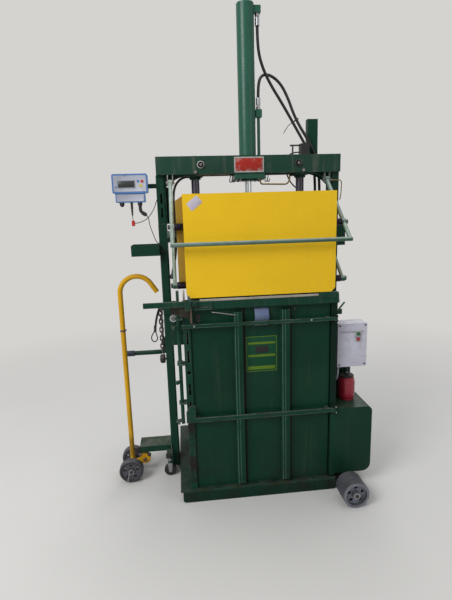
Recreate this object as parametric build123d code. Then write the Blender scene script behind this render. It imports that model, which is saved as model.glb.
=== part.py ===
from build123d import *
import math
import os

# Hydraulic wool press, in millimetres. X runs right, Y back and Z up.
# The origin is on the floor, under the middle of the pressing chamber.

# Chamber
chamber = 700.0            # inside width and depth of the square chamber
sheet = 4.0                # wall of the lower chamber
stiffener = 36.0           # depth of the folded edges and hat ribs outside the wall
hat_width = 50.0
lower_height = 1065.0      # from the base plate to the underside of the mouth rail
rail_height = 50.0
rail_depth = 40.0
rail_lap = 10.0             # side rails past the chamber, up to the front rail
upper_sheet = 3.0
upper_edge = 28.0
upper_height = 500.0

# Base
plate = 8.0
sill_height = 67.0
sill_depth = 60.0
sill_wall = 5.0
sill_left = 477.0
sill_right = 435.0
sill_corner = 20.0
base_depth = 400.0         # from the middle to the front edge

# Posts and top beam
post_inner = 495.0
post_width = 50.0
post_depth = 100.0
post_wall = 5.0
post_height = 1865.0
post_foot = 30.0           # between the floor and a post's lower end
plate_gap = 5.0            # between the base plate and a post
beam_height = 100.0
beam_depth = 160.0
beam_flange = 50.0
beam_wall = 6.0
beam_half = 540.0
beam_bolt_x = 285.0        # washered bolts through the front of the beam
gusset_drop = 68.0
gusset_reach = 129.0
gusset_wall = 10.0

# Cylinder, ram and guides
barrel_radius = 50.0
barrel_wall = 7.0
barrel_top = 2782.0
mount_width = 180.0
mount_depth = 150.0
mount_height = 30.0
gland_radius = 62.0
gland_drop = 8.0
rod_radius = 20.0
piston_height = 45.0
guide_radius = 24.0
guide_wall = 4.0
guide_offset = 316.0
guide_above = 8.0          # guide tube above the beam when the ram is down
bush_radius = 33.0
bush_plate = 90.0
platen_level = 1000.0      # underside of the platen when the ram is down
platen_gap = 6.0           # to each chamber wall
platen_plate = 10.0
platen_height = 80.0
ram_stroke = 700.0
fit = 0.05                 # radial clearance of a running fit
rest_gap = 0.3             # between pieces that rest on each other
port_offset = 68.0         # from the cylinder's axis to the hose ports
port_block = 36.0
port_drop = 32.0           # from the top of the barrel to the upper port
port_low_level = 2202.0
pipe_radius = 9.0
bleed_radius = 5.0
bleed_x = 262.0
bleed_y = 22.0
fitting_length = 64.0
hose_size = 17.0
hose_clear = 26.0          # from the back of the beam to the hoses
cable_size = 8.0
switch_left = 330.0
switch_y = 34.0
mast_left = 400.0
mast_width = 66.0
mast_rise = 235.0          # above the beam
mast_gap = 45.0

# Loading door and its linkage
door_half = 403.0
door_front = 403.0
door_sheet = 3.0
door_bottom = 1207.0
door_top = 1742.0
door_corner = 22.0
wing_top = 290.0           # depth of a side wing at the top
wing_bottom = 90.0
arm_x = 462.0
arm_radius = 11.0
lower_arm_radius = 10.0
eye_radius = 17.0
eye_width = 22.0
pin_radius = 8.0
top_pivot_y = -70.0
top_pivot_z = 1822.0
door_pivot_y = -350.0
door_pivot_z = 1578.0
pivot_drop = 308.0         # from the upper pivots to the lower ones
hoop_y = -450.0

# Lower door
lower_door_half = 390.0
lower_door_face = 373.0
lower_door_sheet = 3.0
lower_door_depth = 20.0
lower_door_gap = 5.0
rib_x = 131.0
rib_width = 45.0
rib_depth = 30.0
strap_wall = 8.0
upper_strap_level = 1055.0
upper_strap_height = 18.0
lower_strap_level = 515.0
lower_strap_height = 24.0
strap_left = 436.0
hinge_x = 409.0
hinge_pin = 6.0
knuckle_radius = 11.0
lug_wall = 8.0
lug_gap = 0.5
column_width = 40.0
right_column_width = 36.0
column_wall = 3.0

# Latch and levers
latch_x = -455.0
latch_y = -388.0
latch_radius = 10.0
latch_lugs = (612.0, 838.0, 1092.0)
hook_wall = 12.0
latch_rest = 70.0          # degrees that the hooks are turned back from the straps at rest
latch_knob_z = 752.0
lever_x = -480.0
lever_z = 1090.0
lever_front = -350.0       # front face of the boss
lever_plate = -333.0       # front face of the bearing plate
lever_rear = 68.0          # rear end of the torque shaft
lever_shaft = 12.0
lever_boss = 20.0
lever_drop = 313.0
lever_root = -556.0        # where the handle tube leaves the crank
grip_start = -800.0
bar_z = 1180.0
bar_left = -632.0
bar_pivot = -366.0
bar_height = 28.0
bar_wall = 12.0

# Power pack
tank_width = 220.0
tank_depth = 329.0
tank_bottom = 95.0
tank_height = 415.0
tank_wall = 3.0
tank_round_top = 30.0
tank_round_low = 50.0
tank_port_x = 472.0
tank_port_cap = -84.0
tank_port_rod = -118.0
filter_x = 542.0
filter_y = -250.0
filter_radius = 50.0
filter_height = 132.0
motor_x = 548.0
motor_y = -136.0
motor_radius = 58.0
motor_height = 215.0
terminal_left = 448.0
terminal_front = -190.0
terminal_depth = 54.0
conduit_size = 13.0
conduit_x = 468.0
case_left = 452.0
case_width = 175.0
case_bottom = 740.0
case_height = 260.0
case_front = -330.0
case_depth = 90.0
lid_wall = 12.0
button_x = 571.0
start_z = 939.0
stop_z = 907.0
button_radius = 12.0
button_travel = 4.0

# Wheels
wheel_radius = 75.0
wheel_width = 126.0
wheel_x = 485.0
wheel_inner = 460.0        # from the middle to the wheel's inner face
axle_radius = 10.0
jack_wheel_radius = 74.0
jack_wheel_width = 44.0
jack_x = -797.0
jack_front = -157.0
jack_rear = 5.0

# Side fittings
platform_length = 200.0
platform_depth = 120.0
platform_top = 187.0
platform_lip = 40.0
platform_wall = 5.0
jack_pin_x = -716.0
jack_pin_z = 97.0
jack_cam = 34.0
handle_x = -796.0
handle_radius = 15.0
handle_wall = 3.0
jack_axle = 9.0
handle_y = -42.0
handle_bend = 100.0
handle_top = 1188.0
handle_turn = 57.0         # degrees that the crook turns past its top
handle_tip = 65.0          # straight end after the crook
caster_x = -556.0
caster_y = -99.0
caster_radius = 38.0
caster_width = 30.0
tray_left = 707.0
tray_front = 100.0
tray_bottom = 1410.0
tray_height = 62.0
scale_left = 787.0
scale_right = 589.0
scale_bottom = 1767.0
scale_height = 107.0
scale_depth = 55.0
scale_back = -40.0
arm_bar = 25.0
scale_arm_level = 1808.0

# Worked out from the sizes above
base_top = sill_height + plate
half = chamber / 2
shell = half + sheet + stiffener
rail_bottom = base_top + lower_height
rail_top = rail_bottom + rail_height
rail_front = -(half + rail_lap + rail_depth)
beam_bottom = post_height
beam_top = beam_bottom + beam_height
beam_face = beam_depth / 2
post_outer = post_inner + post_width
post_face = post_depth / 2
mount_bottom = beam_bottom - mount_height
gland_bottom = mount_bottom - gland_drop
platen_half = half - platen_gap
hinge_y = -(lower_door_face + rib_depth + strap_wall / 2)
strap_front = -(lower_door_face + rib_depth + strap_wall)
column_front = -(lower_door_face + 12.0)
low_pivot_z = top_pivot_z - pivot_drop
door_low_pivot_z = door_pivot_z - pivot_drop
arm_slope = (top_pivot_z - door_pivot_z) / (top_pivot_y - door_pivot_y)
hoop_z = top_pivot_z + (hoop_y - top_pivot_y) * arm_slope
right_column_x = hinge_x - 17.0
straps = ((upper_strap_level, upper_strap_height), (lower_strap_level, lower_strap_height))
bar_back = rail_front - 9.0
port_top_level = barrel_top - port_drop
caster_neck = 2 * caster_radius + 14.0
hose_top = port_top_level - port_block / 2 - fitting_length
hose_low = port_low_level + port_block / 2 + 6 + fitting_length
hose_y = beam_face + hose_clear
hose_end = tank_bottom + tank_height + fitting_length
tank_left = right_column_x + right_column_width
tank_top = tank_bottom + tank_height
tank_front = -(lower_door_face + 16.0)


def block(x0, x1, y0, y1, z0, z1):
    """A rectangular bar between two corners."""
    size = Box(x1 - x0, y1 - y0, z1 - z0)
    return Pos((x0 + x1) / 2, (y0 + y1) / 2, (z0 + z1) / 2) * size


def rod(radius, start, end):
    """A round bar between two points."""
    first = Vector(*start)
    run = Vector(*end) - first
    return extrude(Plane(first, z_dir=run) * Circle(radius), run.length)


def tube(outer, inner, start, end):
    """A round tube between two points."""
    first = Vector(*start)
    run = Vector(*end) - first
    return extrude(Plane(first, z_dir=run) * (Circle(outer) - Circle(inner)), run.length)


def side_profile(points, x, thickness):
    """A plate cut to an outline of (y, z) points, from x towards +X."""
    face = make_face(Polyline(*points, close=True))
    return extrude(Plane((x, 0, 0), x_dir=(0, 1, 0), z_dir=(1, 0, 0)) * face, thickness)


def front_profile(points, y, thickness):
    """A plate cut to an outline of (x, z) points, from y towards +Y."""
    face = make_face(Polyline(*points, close=True))
    return extrude(Plane((0, y, 0), x_dir=(1, 0, 0), z_dir=(0, -1, 0)) * face, -thickness)


def hollow_section(width, depth, wall, corner):
    """Cold formed square tube, as a flat section."""
    outer = RectangleRounded(width, depth, corner)
    return outer - RectangleRounded(width - 2 * wall, depth - 2 * wall, max(corner - wall, 0.5))


def upright_tube(x0, x1, y0, y1, z0, z1, wall):
    """A standing square tube."""
    section = hollow_section(x1 - x0, y1 - y0, wall, wall * 1.6)
    return extrude(Pos((x0 + x1) / 2, (y0 + y1) / 2, z0) * section, z1 - z0)


def cross_tube(x0, x1, y0, y1, z0, z1, wall):
    """A square tube lying along X."""
    section = hollow_section(y1 - y0, z1 - z0, wall, wall * 1.6)
    start = Plane((x0, (y0 + y1) / 2, (z0 + z1) / 2), x_dir=(0, 1, 0), z_dir=(1, 0, 0))
    return extrude(start * section, x1 - x0)


def mirrored(shape):
    """The same piece on the other side of the press."""
    return mirror(shape, Plane.YZ)


def wall_section(length, skin, depth, hats):
    """Section of a stiffened wall, from the inner face at y = 0 outwards to +Y."""
    section = Pos(0, skin / 2) * Rectangle(length, skin)
    for end in (-1, 1):
        section += Pos(end * (length - skin) / 2, (skin + depth) / 2) * Rectangle(skin, skin + depth)
    for place in hats:
        outer = Pos(place, skin + depth / 2) * Rectangle(hat_width, depth)
        inner = Pos(place, skin + (depth - skin) / 2) * Rectangle(hat_width - 2 * skin, depth - skin)
        section += outer - inner
    return section


def wall(length, skin, depth, hats, bottom, height):
    """A stiffened wall standing across the back, with its inner face at y = 0."""
    panel = extrude(Pos(0, 0, bottom) * wall_section(length, skin, depth, hats), height)
    return panel


def route(points):
    """Straight runs joined by arcs as large as the runs allow, and the arcs' radii."""
    radii = []
    for before, here, after in zip(points, points[1:], points[2:]):
        arriving = Vector(*here) - Vector(*before)
        leaving = Vector(*after) - Vector(*here)
        turn = math.radians(arriving.get_angle(leaving))
        radii.append(0.45 * min(arriving.length, leaving.length) / math.tan(turn / 2))
    return FilletPolyline(*points, radius=radii), radii


def flexible(name, points, diameter):
    """A round hose or cable along a route, with its smallest radius printed."""
    path, radii = route(points)
    section = Plane(path @ 0, z_dir=path % 0) * Circle(diameter / 2)
    print(name, "smallest radius", round(min(radii) / diameter, 1), "diameters, length", round(path.length))
    return sweep(section, path=path)


def base_plate():
    """Floor plate of the chamber, cut square at the left post."""
    return block(-(post_inner - plate_gap), sill_right, -base_depth, base_depth, sill_height, base_top)


def sills():
    """Pressed channel sills under the front and back edges, with rounded ends."""
    length = sill_left + sill_right
    middle = (sill_right - sill_left) / 2
    pair = []
    for front in (-base_depth, base_depth - sill_depth):
        outline = RectangleRounded(length, sill_height, sill_corner)
        start = Plane((middle, front, sill_height / 2), x_dir=(1, 0, 0), z_dir=(0, -1, 0))
        solid = extrude(start * outline, -sill_depth)
        hollow = block(-sill_left + sill_wall * 2, sill_right - sill_wall * 2, front + sill_wall,
                       front + sill_depth - sill_wall, -1, sill_height - sill_wall)
        hole = rod(7, (-sill_left + 22, front - 1, 26), (-sill_left + 22, front + sill_depth + 1, 26))
        pair.append(solid - hollow - hole)
    return pair


def foot_beam():
    """Bottom cross beam between the posts, which takes the pressing force."""
    return cross_tube(-post_inner, post_inner, -post_face, post_face, 0, sill_height, beam_wall)


def knee_gussets():
    """Hollow cut knee plates between the right post and the beam."""
    pair = []
    for face in (-post_face + gusset_wall, post_face - 2 * gusset_wall):
        corner = (post_inner, beam_bottom)
        tip = (post_inner - gusset_reach, beam_bottom)
        foot = (post_inner, beam_bottom - gusset_drop)
        middle = (post_inner - gusset_reach * 0.45, beam_bottom - gusset_drop * 0.32)
        edge = ThreePointArc(tip, middle, foot)
        outline = make_face(Curve() + [Line(foot, corner), Line(corner, tip), edge])
        start = Plane((0, face, 0), x_dir=(1, 0, 0), z_dir=(0, -1, 0))
        pair.append(extrude(start * outline, -gusset_wall))
    return pair


def right_post():
    """Square tube post with its knee plates."""
    body = upright_tube(post_inner, post_outer, -post_face, post_face, post_foot, post_height, post_wall)
    for gusset in knee_gussets():
        body += gusset
    return body


def left_post():
    """Post on the lever side, with the catch guide and the bearing block of the torque shaft."""
    body = mirrored(right_post())
    for level in (1655, 1735):
        slot = block(-post_inner - 30, -post_inner - 18, -post_face - 1, -post_face + post_wall + 1,
                     level - 28, level + 28)
        body -= slot
    guide = block(-post_inner, -post_inner + 22, -post_face, -post_face + 40, 1590, 1800)
    guide -= block(-post_inner + 3, -post_inner + 19, -post_face - 1, -post_face + 36, 1589, 1801)
    seat = block(-post_outer, lever_x + 25, -post_face - 10, -post_face, lever_z - 37, lever_z + 38)
    seat -= rod(lever_shaft + fit, (lever_x, -post_face - 11, lever_z), (lever_x, -post_face + 1, lever_z))
    return body + guide + seat


def top_beam():
    """Two channels with their backs outward, closed by end plates."""
    tip = beam_face - beam_flange
    web = Rectangle(beam_wall, beam_height)
    flange = Rectangle(beam_flange, beam_wall)
    section = Pos(-(beam_face - beam_wall / 2), 0) * web
    for edge in (-1, 1):
        section += Pos(-(beam_face + tip) / 2, edge * (beam_height - beam_wall) / 2) * flange
    start = Plane((-beam_half, 0, beam_bottom + beam_height / 2), x_dir=(0, 1, 0), z_dir=(1, 0, 0))
    channel = extrude(start * section, 2 * beam_half)
    body = channel + mirror(channel, Plane.XZ)
    for side in (-1, 1):
        inner = side * (beam_half - beam_wall)
        outer = side * beam_half
        body += block(min(inner, outer), max(inner, outer), -beam_face + beam_wall, beam_face - beam_wall,
                      beam_bottom, beam_top)
        body -= rod(bush_radius + 2, (side * guide_offset, 0, beam_bottom - 1),
                    (side * guide_offset, 0, beam_top + 1))
    return body - rod(barrel_radius + 2, (0, 0, beam_bottom - 1), (0, 0, beam_top + 1))


def beam_bolts():
    """Washered bolts through the front of the beam, and the bolts of the guide bushes."""
    bolts = []
    for x in (-beam_bolt_x, beam_bolt_x):
        washer = rod(18, (x, -beam_face - 5, beam_bottom + 52), (x, -beam_face, beam_bottom + 52))
        head = extrude(Plane((x, -beam_face - 5, beam_bottom + 52), z_dir=(0, -1, 0))
                       * RegularPolygon(13, 6), 9)
        bolts.append(washer + head)
    for x in (-guide_offset, guide_offset):
        bolts.append(extrude(Plane((x, -beam_face, beam_bottom + 12), z_dir=(0, -1, 0))
                             * RegularPolygon(9, 6), 8))
    for x in (-76, -54, 54, 76):
        for y in (-58, 58):
            bolts.append(extrude(Plane((x, y, mount_bottom), z_dir=(0, 0, -1))
                                 * RegularPolygon(9, 6), 8))
    return bolts


def cylinder_mount():
    """Flange under the beam with the cylinder's gland."""
    body = block(-mount_width / 2, mount_width / 2, -mount_depth / 2, mount_depth / 2,
                 mount_bottom, beam_bottom)
    body = fillet(body.edges().filter_by(Axis.Z), 6)
    body -= rod(barrel_radius, (0, 0, mount_bottom + 6), (0, 0, beam_bottom + 1))
    gland = Polyline((rod_radius + fit, gland_bottom), (gland_radius - 4, gland_bottom),
                     (gland_radius - 4, gland_bottom + 4), (gland_radius - 8, mount_bottom),
                     (gland_radius - 8, mount_bottom + 6), (rod_radius + fit, mount_bottom + 6), close=True)
    body -= rod(gland_radius - 12, (0, 0, mount_bottom - 1), (0, 0, mount_bottom + 7))
    body += revolve(Plane.XZ * make_face(gland), Axis.Z)
    return body - rod(rod_radius + fit, (0, 0, gland_bottom - 1), (0, 0, mount_bottom + 7))


def guide_bushes():
    """Flanged sleeves that guide the two platen tubes through the beam."""
    pair = []
    for side in (-1, 1):
        x = side * guide_offset
        seat = block(x - bush_plate / 2, x + bush_plate / 2, -beam_face + 14, beam_face - 14,
                     beam_bottom - 10, beam_bottom)
        sleeve = rod(bush_radius, (x, 0, beam_bottom - 24), (x, 0, beam_top - 4))
        bore = rod(guide_radius + fit, (x, 0, beam_bottom - 30), (x, 0, beam_top))
        pair.append(seat + sleeve - bore)
    return pair


def cylinder_barrel():
    """Barrel with a welded end cap and the upper port block."""
    seat = mount_bottom + 6
    body = tube(barrel_radius, barrel_radius - barrel_wall, (0, 0, seat), (0, 0, barrel_top - 22))
    cap = rod(barrel_radius, (0, 0, barrel_top - 22), (0, 0, barrel_top))
    cap = chamfer(cap.edges().sort_by(Axis.Z)[-1], 5)
    port = block(barrel_radius - 6, port_offset + port_block / 2, -port_block / 2, port_block / 2,
                 port_top_level - port_block / 2, port_top_level + port_block / 2)
    port -= rod(barrel_radius - 1, (0, 0, seat), (0, 0, barrel_top - 23))
    return body + cap + port


def lower_port_pipe():
    """Steel pipe from the gland end up to the lower hose port."""
    low = port_low_level - port_block / 2
    head = block(barrel_radius + 0.3, port_offset + port_block / 2, -port_block / 2, port_block / 2,
                 low, low + port_block + 6)
    pipe = rod(pipe_radius, (port_offset, 0, beam_bottom), (port_offset, 0, low))
    nut = extrude(Pos(port_offset, 0, beam_bottom) * RegularPolygon(16, 6), 16)
    return head + pipe + nut


def hose_fitting(x, y, z, way):
    """Hexagon swivel nut and crimped ferrule, from z upwards (way 1) or downwards (way -1)."""
    nut = extrude(Plane((x, y, z), z_dir=(0, 0, way)) * RegularPolygon(13, 6), 17)
    neck = rod(8, (x, y, z + way * 16), (x, y, z + way * 26))
    ferrule = rod(13, (x, y, z + way * 25), (x, y, z + way * 64))
    return nut + neck + ferrule


def hose_fittings():
    """The four ends of the two hydraulic hoses."""
    ends = [hose_fitting(port_offset, 0, port_top_level - port_block / 2, -1)]
    ends.append(hose_fitting(port_offset, 0, port_low_level + port_block / 2 + 6, 1))
    for y in (tank_port_cap, tank_port_rod):
        ends.append(hose_fitting(tank_port_x, y, tank_top, 1))
    return ends


def hose_cap_side():
    """Hose from the top of the cylinder, down behind the beam and the right post to the tank."""
    side = post_inner - 50
    x = port_offset
    y = hose_y
    end = hose_end
    return flexible("hose_cap_side", [
        (x, 0, hose_top), (x, 0, hose_top - 76), (x + 12, 8, hose_top - 160),
        (x + 47, 26, beam_top + 463), (x + 97, 50, beam_top + 392), (x + 152, 76, beam_top + 325),
        (x + 203, y - 8, beam_top + 257), (side - 128, y, beam_top + 185), (side - 85, y + 1, beam_top + 115),
        (side - 45, y + 1, beam_top + 45), (side - 14, y, beam_top - 30), (side, y, beam_bottom - 15),
        (side + 2, y + 1, beam_bottom - 190), (side - 1, y - 1, beam_bottom - 395),
        (side + 2, y + 1, beam_bottom - 590), (side - 1, y - 1, end + 546), (side + 1, y - 6, end + 401),
        (side + 1, y - 26, end + 306), (side + 4, y - 66, end + 231), (side + 11, y - 114, end + 171),
        (side + 21, tank_port_cap + 28, end + 118), (tank_port_x, tank_port_cap, end + 58),
        (tank_port_x, tank_port_cap, end)], hose_size)


def hose_rod_side():
    """Hose from the lower port, arched over and down beside the first one to the tank."""
    side = post_inner - 21
    x = port_offset
    y = hose_y
    end = hose_end
    return flexible("hose_rod_side", [
        (x, 0, hose_low), (x, 0, hose_low + 80), (x + 33, 41, hose_low + 140),
        (x + 97, 87, hose_low + 148), (x + 161, y - 3, hose_low + 103), (x + 206, y, beam_top + 345),
        (side - 168, y + 1, beam_top + 261), (side - 128, y + 1, beam_top + 187),
        (side - 82, y, beam_top + 118), (side - 38, y, beam_top + 38), (side - 9, y, beam_top - 58),
        (side, y - 1, beam_bottom - 48), (side + 2, y + 1, beam_bottom - 220),
        (side - 1, y - 1, beam_bottom - 420), (side + 2, y + 1, beam_bottom - 610),
        (side - 1, y - 2, end + 510), (side, y - 10, end + 400), (side, y - 30, end + 310),
        (side, y - 72, end + 240), (side, y - 124, end + 182), (tank_port_x + 1, tank_port_rod + 44, end + 130),
        (tank_port_x, tank_port_rod, end + 68), (tank_port_x, tank_port_rod, end)], hose_size)


def hose_mast():
    """Channel on the back of the beam that keeps the hoses clear."""
    face = beam_face + mast_gap
    right = mast_left + mast_width
    body = block(mast_left, right, face, face + 40, beam_bottom + 10, beam_top + mast_rise)
    body -= block(mast_left + 4, right - 4, face + 4, face + 41, beam_bottom + 5, beam_top + mast_rise + 5)
    foot = block(mast_left, mast_left + 25, beam_face, face, beam_bottom + 10, beam_bottom + 34)
    return body + foot


def limit_switch():
    """Switch box on the beam, with its striker bar beside the right guide."""
    box = block(switch_left, switch_left + 56, switch_y, switch_y + 44, beam_top, beam_top + 78)
    box = fillet(box.edges().filter_by(Axis.Z), 4)
    stem = rod(5, (switch_left - 45, switch_y + 12, beam_top), (switch_left - 45, switch_y + 12, beam_top + 65))
    bar = block(switch_left - 62, switch_left, switch_y + 6, switch_y + 18, beam_top + 64, beam_top + 72)
    return box + stem + bar


def switch_cable():
    """Cable of the limit switch, down behind the beam and the post to the control box."""
    x = switch_left
    y = hose_y
    top = beam_bottom
    side = post_inner - 53
    back = case_front + case_depth
    entry = case_bottom + 140
    return flexible("switch_cable", [
        (x, 68, top + 131), (x - 44, 68, top + 131), (x - 72, 86, top + 104), (x - 77, y - 4, top + 60),
        (x - 70, y, top + 14), (x - 52, y + 1, top - 30), (x - 22, y + 1, top - 67), (x + 16, y, top - 95),
        (x + 58, y - 2, top - 119), (side - 18, y - 6, top - 157), (side - 4, y - 16, top - 213),
        (side, y - 20, top - 280), (side + 3, y - 22, top - 365), (side, y - 20, top - 475),
        (side + 3, y - 22, top - 585), (side, y - 20, top - 695), (side + 3, y - 28, entry + 195),
        (side + 7, y - 60, entry + 110), (side + 15, y - 122, entry + 45), (side + 24, back + 150, entry + 13),
        (side + 34, back + 75, entry), (side + 34, back, entry)], cable_size)


def bleed_pipe():
    """Plated pipe from the cylinder mount, bent up through the beam to a capped nut."""
    start = (mount_width / 2 - 10, bleed_y, mount_bottom)
    path = FilletPolyline(start, (start[0], bleed_y, mount_bottom - 25),
                          (bleed_x - 3, bleed_y, mount_bottom - 30), (bleed_x, bleed_y, beam_top),
                          radius=[12, 32])
    pipe = sweep(Plane(path @ 0, z_dir=path % 0) * Circle(bleed_radius), path=path)
    nut = extrude(Pos(bleed_x, bleed_y, beam_top) * RegularPolygon(13, 6), 12)
    return pipe + nut


def chamber_side_walls():
    """Ribbed side walls of the lower chamber, each with its rail along the mouth."""
    panel = wall(chamber, sheet, stiffener, (-232, 0, 232), base_top, lower_height)
    panel = Rot(0, 0, -90) * Pos(0, half, 0) * panel
    rail = hollow_rail(-half - rail_lap, half, half + sheet, shell)
    return [panel + rail, mirrored(panel + rail)]


def hollow_rail(y0, y1, x0, x1):
    """A square tube along Y on top of a side wall."""
    section = hollow_section(x1 - x0, rail_height, sheet, sheet * 1.6)
    start = Plane(((x0 + x1) / 2, y1, rail_bottom + rail_height / 2), x_dir=(1, 0, 0), z_dir=(0, -1, 0))
    return extrude(start * section, y1 - y0)


def chamber_rear_wall():
    """Ribbed rear wall of the lower chamber with its rail."""
    panel = wall(2 * shell, sheet, stiffener, (-232, 0, 232), base_top, lower_height)
    rail = cross_tube(-shell, shell, sheet, sheet + stiffener, rail_bottom, rail_top, sheet)
    return Pos(0, half, 0) * (panel + rail)


def upper_side_walls():
    """Side walls of the upper box, which stay put behind the loading door's wings."""
    panel = wall(chamber, upper_sheet, upper_edge, (0,), rail_top, upper_height)
    panel = Rot(0, 0, -90) * Pos(0, half, 0) * panel
    return [panel, mirrored(panel)]


def upper_rear_wall():
    """Rear wall of the upper box."""
    panel = wall(2 * (half + upper_sheet + upper_edge), upper_sheet, upper_edge, (-160, 160),
                 rail_top, upper_height)
    return Pos(0, half, 0) * panel


def left_column():
    """Slotted front column with the latch shaft's three lugs and the torque shaft's bearing plate."""
    right = -shell
    left = right - column_width
    body = upright_tube(left, right, column_front, column_front + column_width, base_top, rail_bottom,
                        column_wall)
    middle = (left + right) / 2
    for level in (985, 880, 690, 585):
        slot = Plane((middle, column_front - 1, level), x_dir=(1, 0, 0), z_dir=(0, -1, 0))
        body -= extrude(slot * RectangleRounded(11, 70, 5), -column_wall - 3)
    body -= block(middle - 9, middle + 9, column_front - 1, column_front + column_wall + 1, 778, 796)
    plate_low = lever_z - 155
    bearing = block(lever_x - 14, right - 10, lever_plate, lever_plate + 8, plate_low, lever_z + 16)
    bearing += block(left, right - 10, column_front + column_width - 1, lever_plate, plate_low, lever_z + 16)
    body += bearing - rod(lever_shaft + fit, (lever_x, lever_plate - 1, lever_z),
                          (lever_x, lever_plate + 9, lever_z))
    for level in latch_lugs:
        lug = block(latch_x - 17, left, latch_y - 17, column_front + column_width - 6, level, level + lug_wall)
        lug = fillet(lug.edges().filter_by(Axis.Z).sort_by(Axis.X)[0:2], 14)
        body += lug - rod(latch_radius + fit, (latch_x, latch_y, level - 1),
                          (latch_x, latch_y, level + lug_wall + 1))
    return body


def hinge_lugs(level, height):
    """Two lugs and the pin that carry one strap of the lower door."""
    low = level - height / 2 - lug_gap - lug_wall
    high = level + height / 2 + lug_gap
    body = None
    for bottom in (low, high):
        lug = block(hinge_x - 13, hinge_x + 13, hinge_y, column_front, bottom, bottom + lug_wall)
        lug += rod(13, (hinge_x, hinge_y, bottom), (hinge_x, hinge_y, bottom + lug_wall))
        body = lug if body is None else body + lug
    return body + rod(hinge_pin, (hinge_x, hinge_y, low - 4), (hinge_x, hinge_y, high + lug_wall + 4))


def right_column():
    """Hinge column with the lugs and pins of both straps."""
    body = upright_tube(right_column_x, right_column_x + right_column_width, column_front,
                        column_front + column_width, base_top, rail_bottom, column_wall)
    for level, height in straps:
        body += hinge_lugs(level, height)
    return body


def front_rail():
    """Rail across the chamber's mouth, with its wear strip, end blocks and bar rest."""
    front = rail_front
    body = cross_tube(-shell - column_width, right_column_x + right_column_width, front,
                      front + rail_depth, rail_bottom, rail_top, sheet)
    body += block(-335, 312, front + 6, front + 16, rail_top, rail_top + 9)
    body += block(312, 424, front - 5, front + 25, rail_top - 14, door_bottom - 4)
    body += block(-362, -272, front - 6, front, rail_bottom + 20, rail_top - 2)
    body += block(-362, -272, front - 8, front, rail_bottom + 2, rail_bottom + 16)
    low = bar_z - bar_height / 2 - 0.3
    rest = block(-415, -387, bar_back - bar_wall - 8, front, low - 12, low)
    rest += block(-415, -387, bar_back - bar_wall - 8, bar_back - bar_wall - 2, low, low + 16)
    pivot = rod(7, (bar_pivot, front, bar_z), (bar_pivot, bar_back - bar_wall - 6, bar_z))
    return body + rest + pivot


def webbing_loop():
    """Pull loop of webbing, bowed out from the lower door and tucked behind the strap."""
    face = -lower_door_face - 0.3
    top = rail_bottom - lower_door_gap - 2
    outer = ThreePointArc((face, top), (face - 32, top - 44), (face, upper_strap_level - 24))
    inner = ThreePointArc((face, upper_strap_level - 19), (face - 29, top - 45), (face, top - 5))
    ends = [Line((face, upper_strap_level - 24), (face, upper_strap_level - 19)),
            Line((face, top - 5), (face, top))]
    outline = make_face(Curve() + [outer, ends[0], inner, ends[1]])
    start = Plane((-42, 0, 0), x_dir=(0, 1, 0), z_dir=(1, 0, 0))
    return extrude(start * outline, 78)


def arm_brackets():
    """Clevises under the beam and cheeks on the posts, with the four fixed pivot pins."""
    pieces = []
    for side in (1, -1):
        clevis = None
        for inner in (arm_x - eye_width / 2 - 6, arm_x + eye_width / 2 + 1):
            outline = [(-45, beam_bottom), (-45, beam_bottom - 12), (top_pivot_y + 16, top_pivot_z - 18),
                       (top_pivot_y - 16, top_pivot_z - 18), (-beam_face + 2, beam_bottom)]
            cheek = side_profile(outline, inner, 5)
            clevis = cheek if clevis is None else clevis + cheek
        clevis += rod(pin_radius, (arm_x - 24, top_pivot_y, top_pivot_z), (arm_x + 24, top_pivot_y, top_pivot_z))
        cheek = side_profile([(-post_face + 20, low_pivot_z - 34), (top_pivot_y - 4, low_pivot_z - 24),
                              (top_pivot_y - 22, low_pivot_z), (top_pivot_y - 4, low_pivot_z + 24),
                              (-post_face + 20, low_pivot_z + 34)], post_inner - 14, 14)
        cheek += rod(pin_radius, (arm_x - 22, top_pivot_y, low_pivot_z), (post_inner - 8, top_pivot_y, low_pivot_z))
        outer = post_outer + (43 if side > 0 else 0)
        pad = block(post_inner, outer, -post_face - 8, -post_face, low_pivot_z - 85, low_pivot_z + 78)
        for piece in (clevis, cheek + pad):
            pieces.append(piece if side > 0 else mirrored(piece))
    return pieces


def tank_section(inset):
    """Front outline of the tank, rounded at the right and more so at the bottom."""
    section = Rectangle(tank_width - 2 * inset, tank_height - 2 * inset)
    section = fillet(section.vertices().sort_by(Axis.X)[-2:].sort_by(Axis.Y)[-1], tank_round_top - inset)
    return fillet(section.vertices().sort_by(Axis.Y)[0:2].sort_by(Axis.X)[-1], tank_round_low - inset)


def oil_tank():
    """Folded sheet tank, with its front sheet carried on over the hinge column."""
    middle = (tank_left + tank_width / 2, tank_front, tank_bottom + tank_height / 2)
    start = Plane(middle, x_dir=(1, 0, 0), z_dir=(0, -1, 0))
    body = extrude(start * tank_section(0), -tank_depth)
    lap_top = lower_strap_level - lower_strap_height / 2 - lug_gap - lug_wall - 10
    hollow = extrude(start.offset(-tank_wall) * tank_section(tank_wall), -(tank_depth - 2 * tank_wall))
    lap = block(lower_door_half + 5, tank_left, tank_front, tank_front + tank_wall, base_top + 9, lap_top)
    return body - hollow + lap


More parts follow.
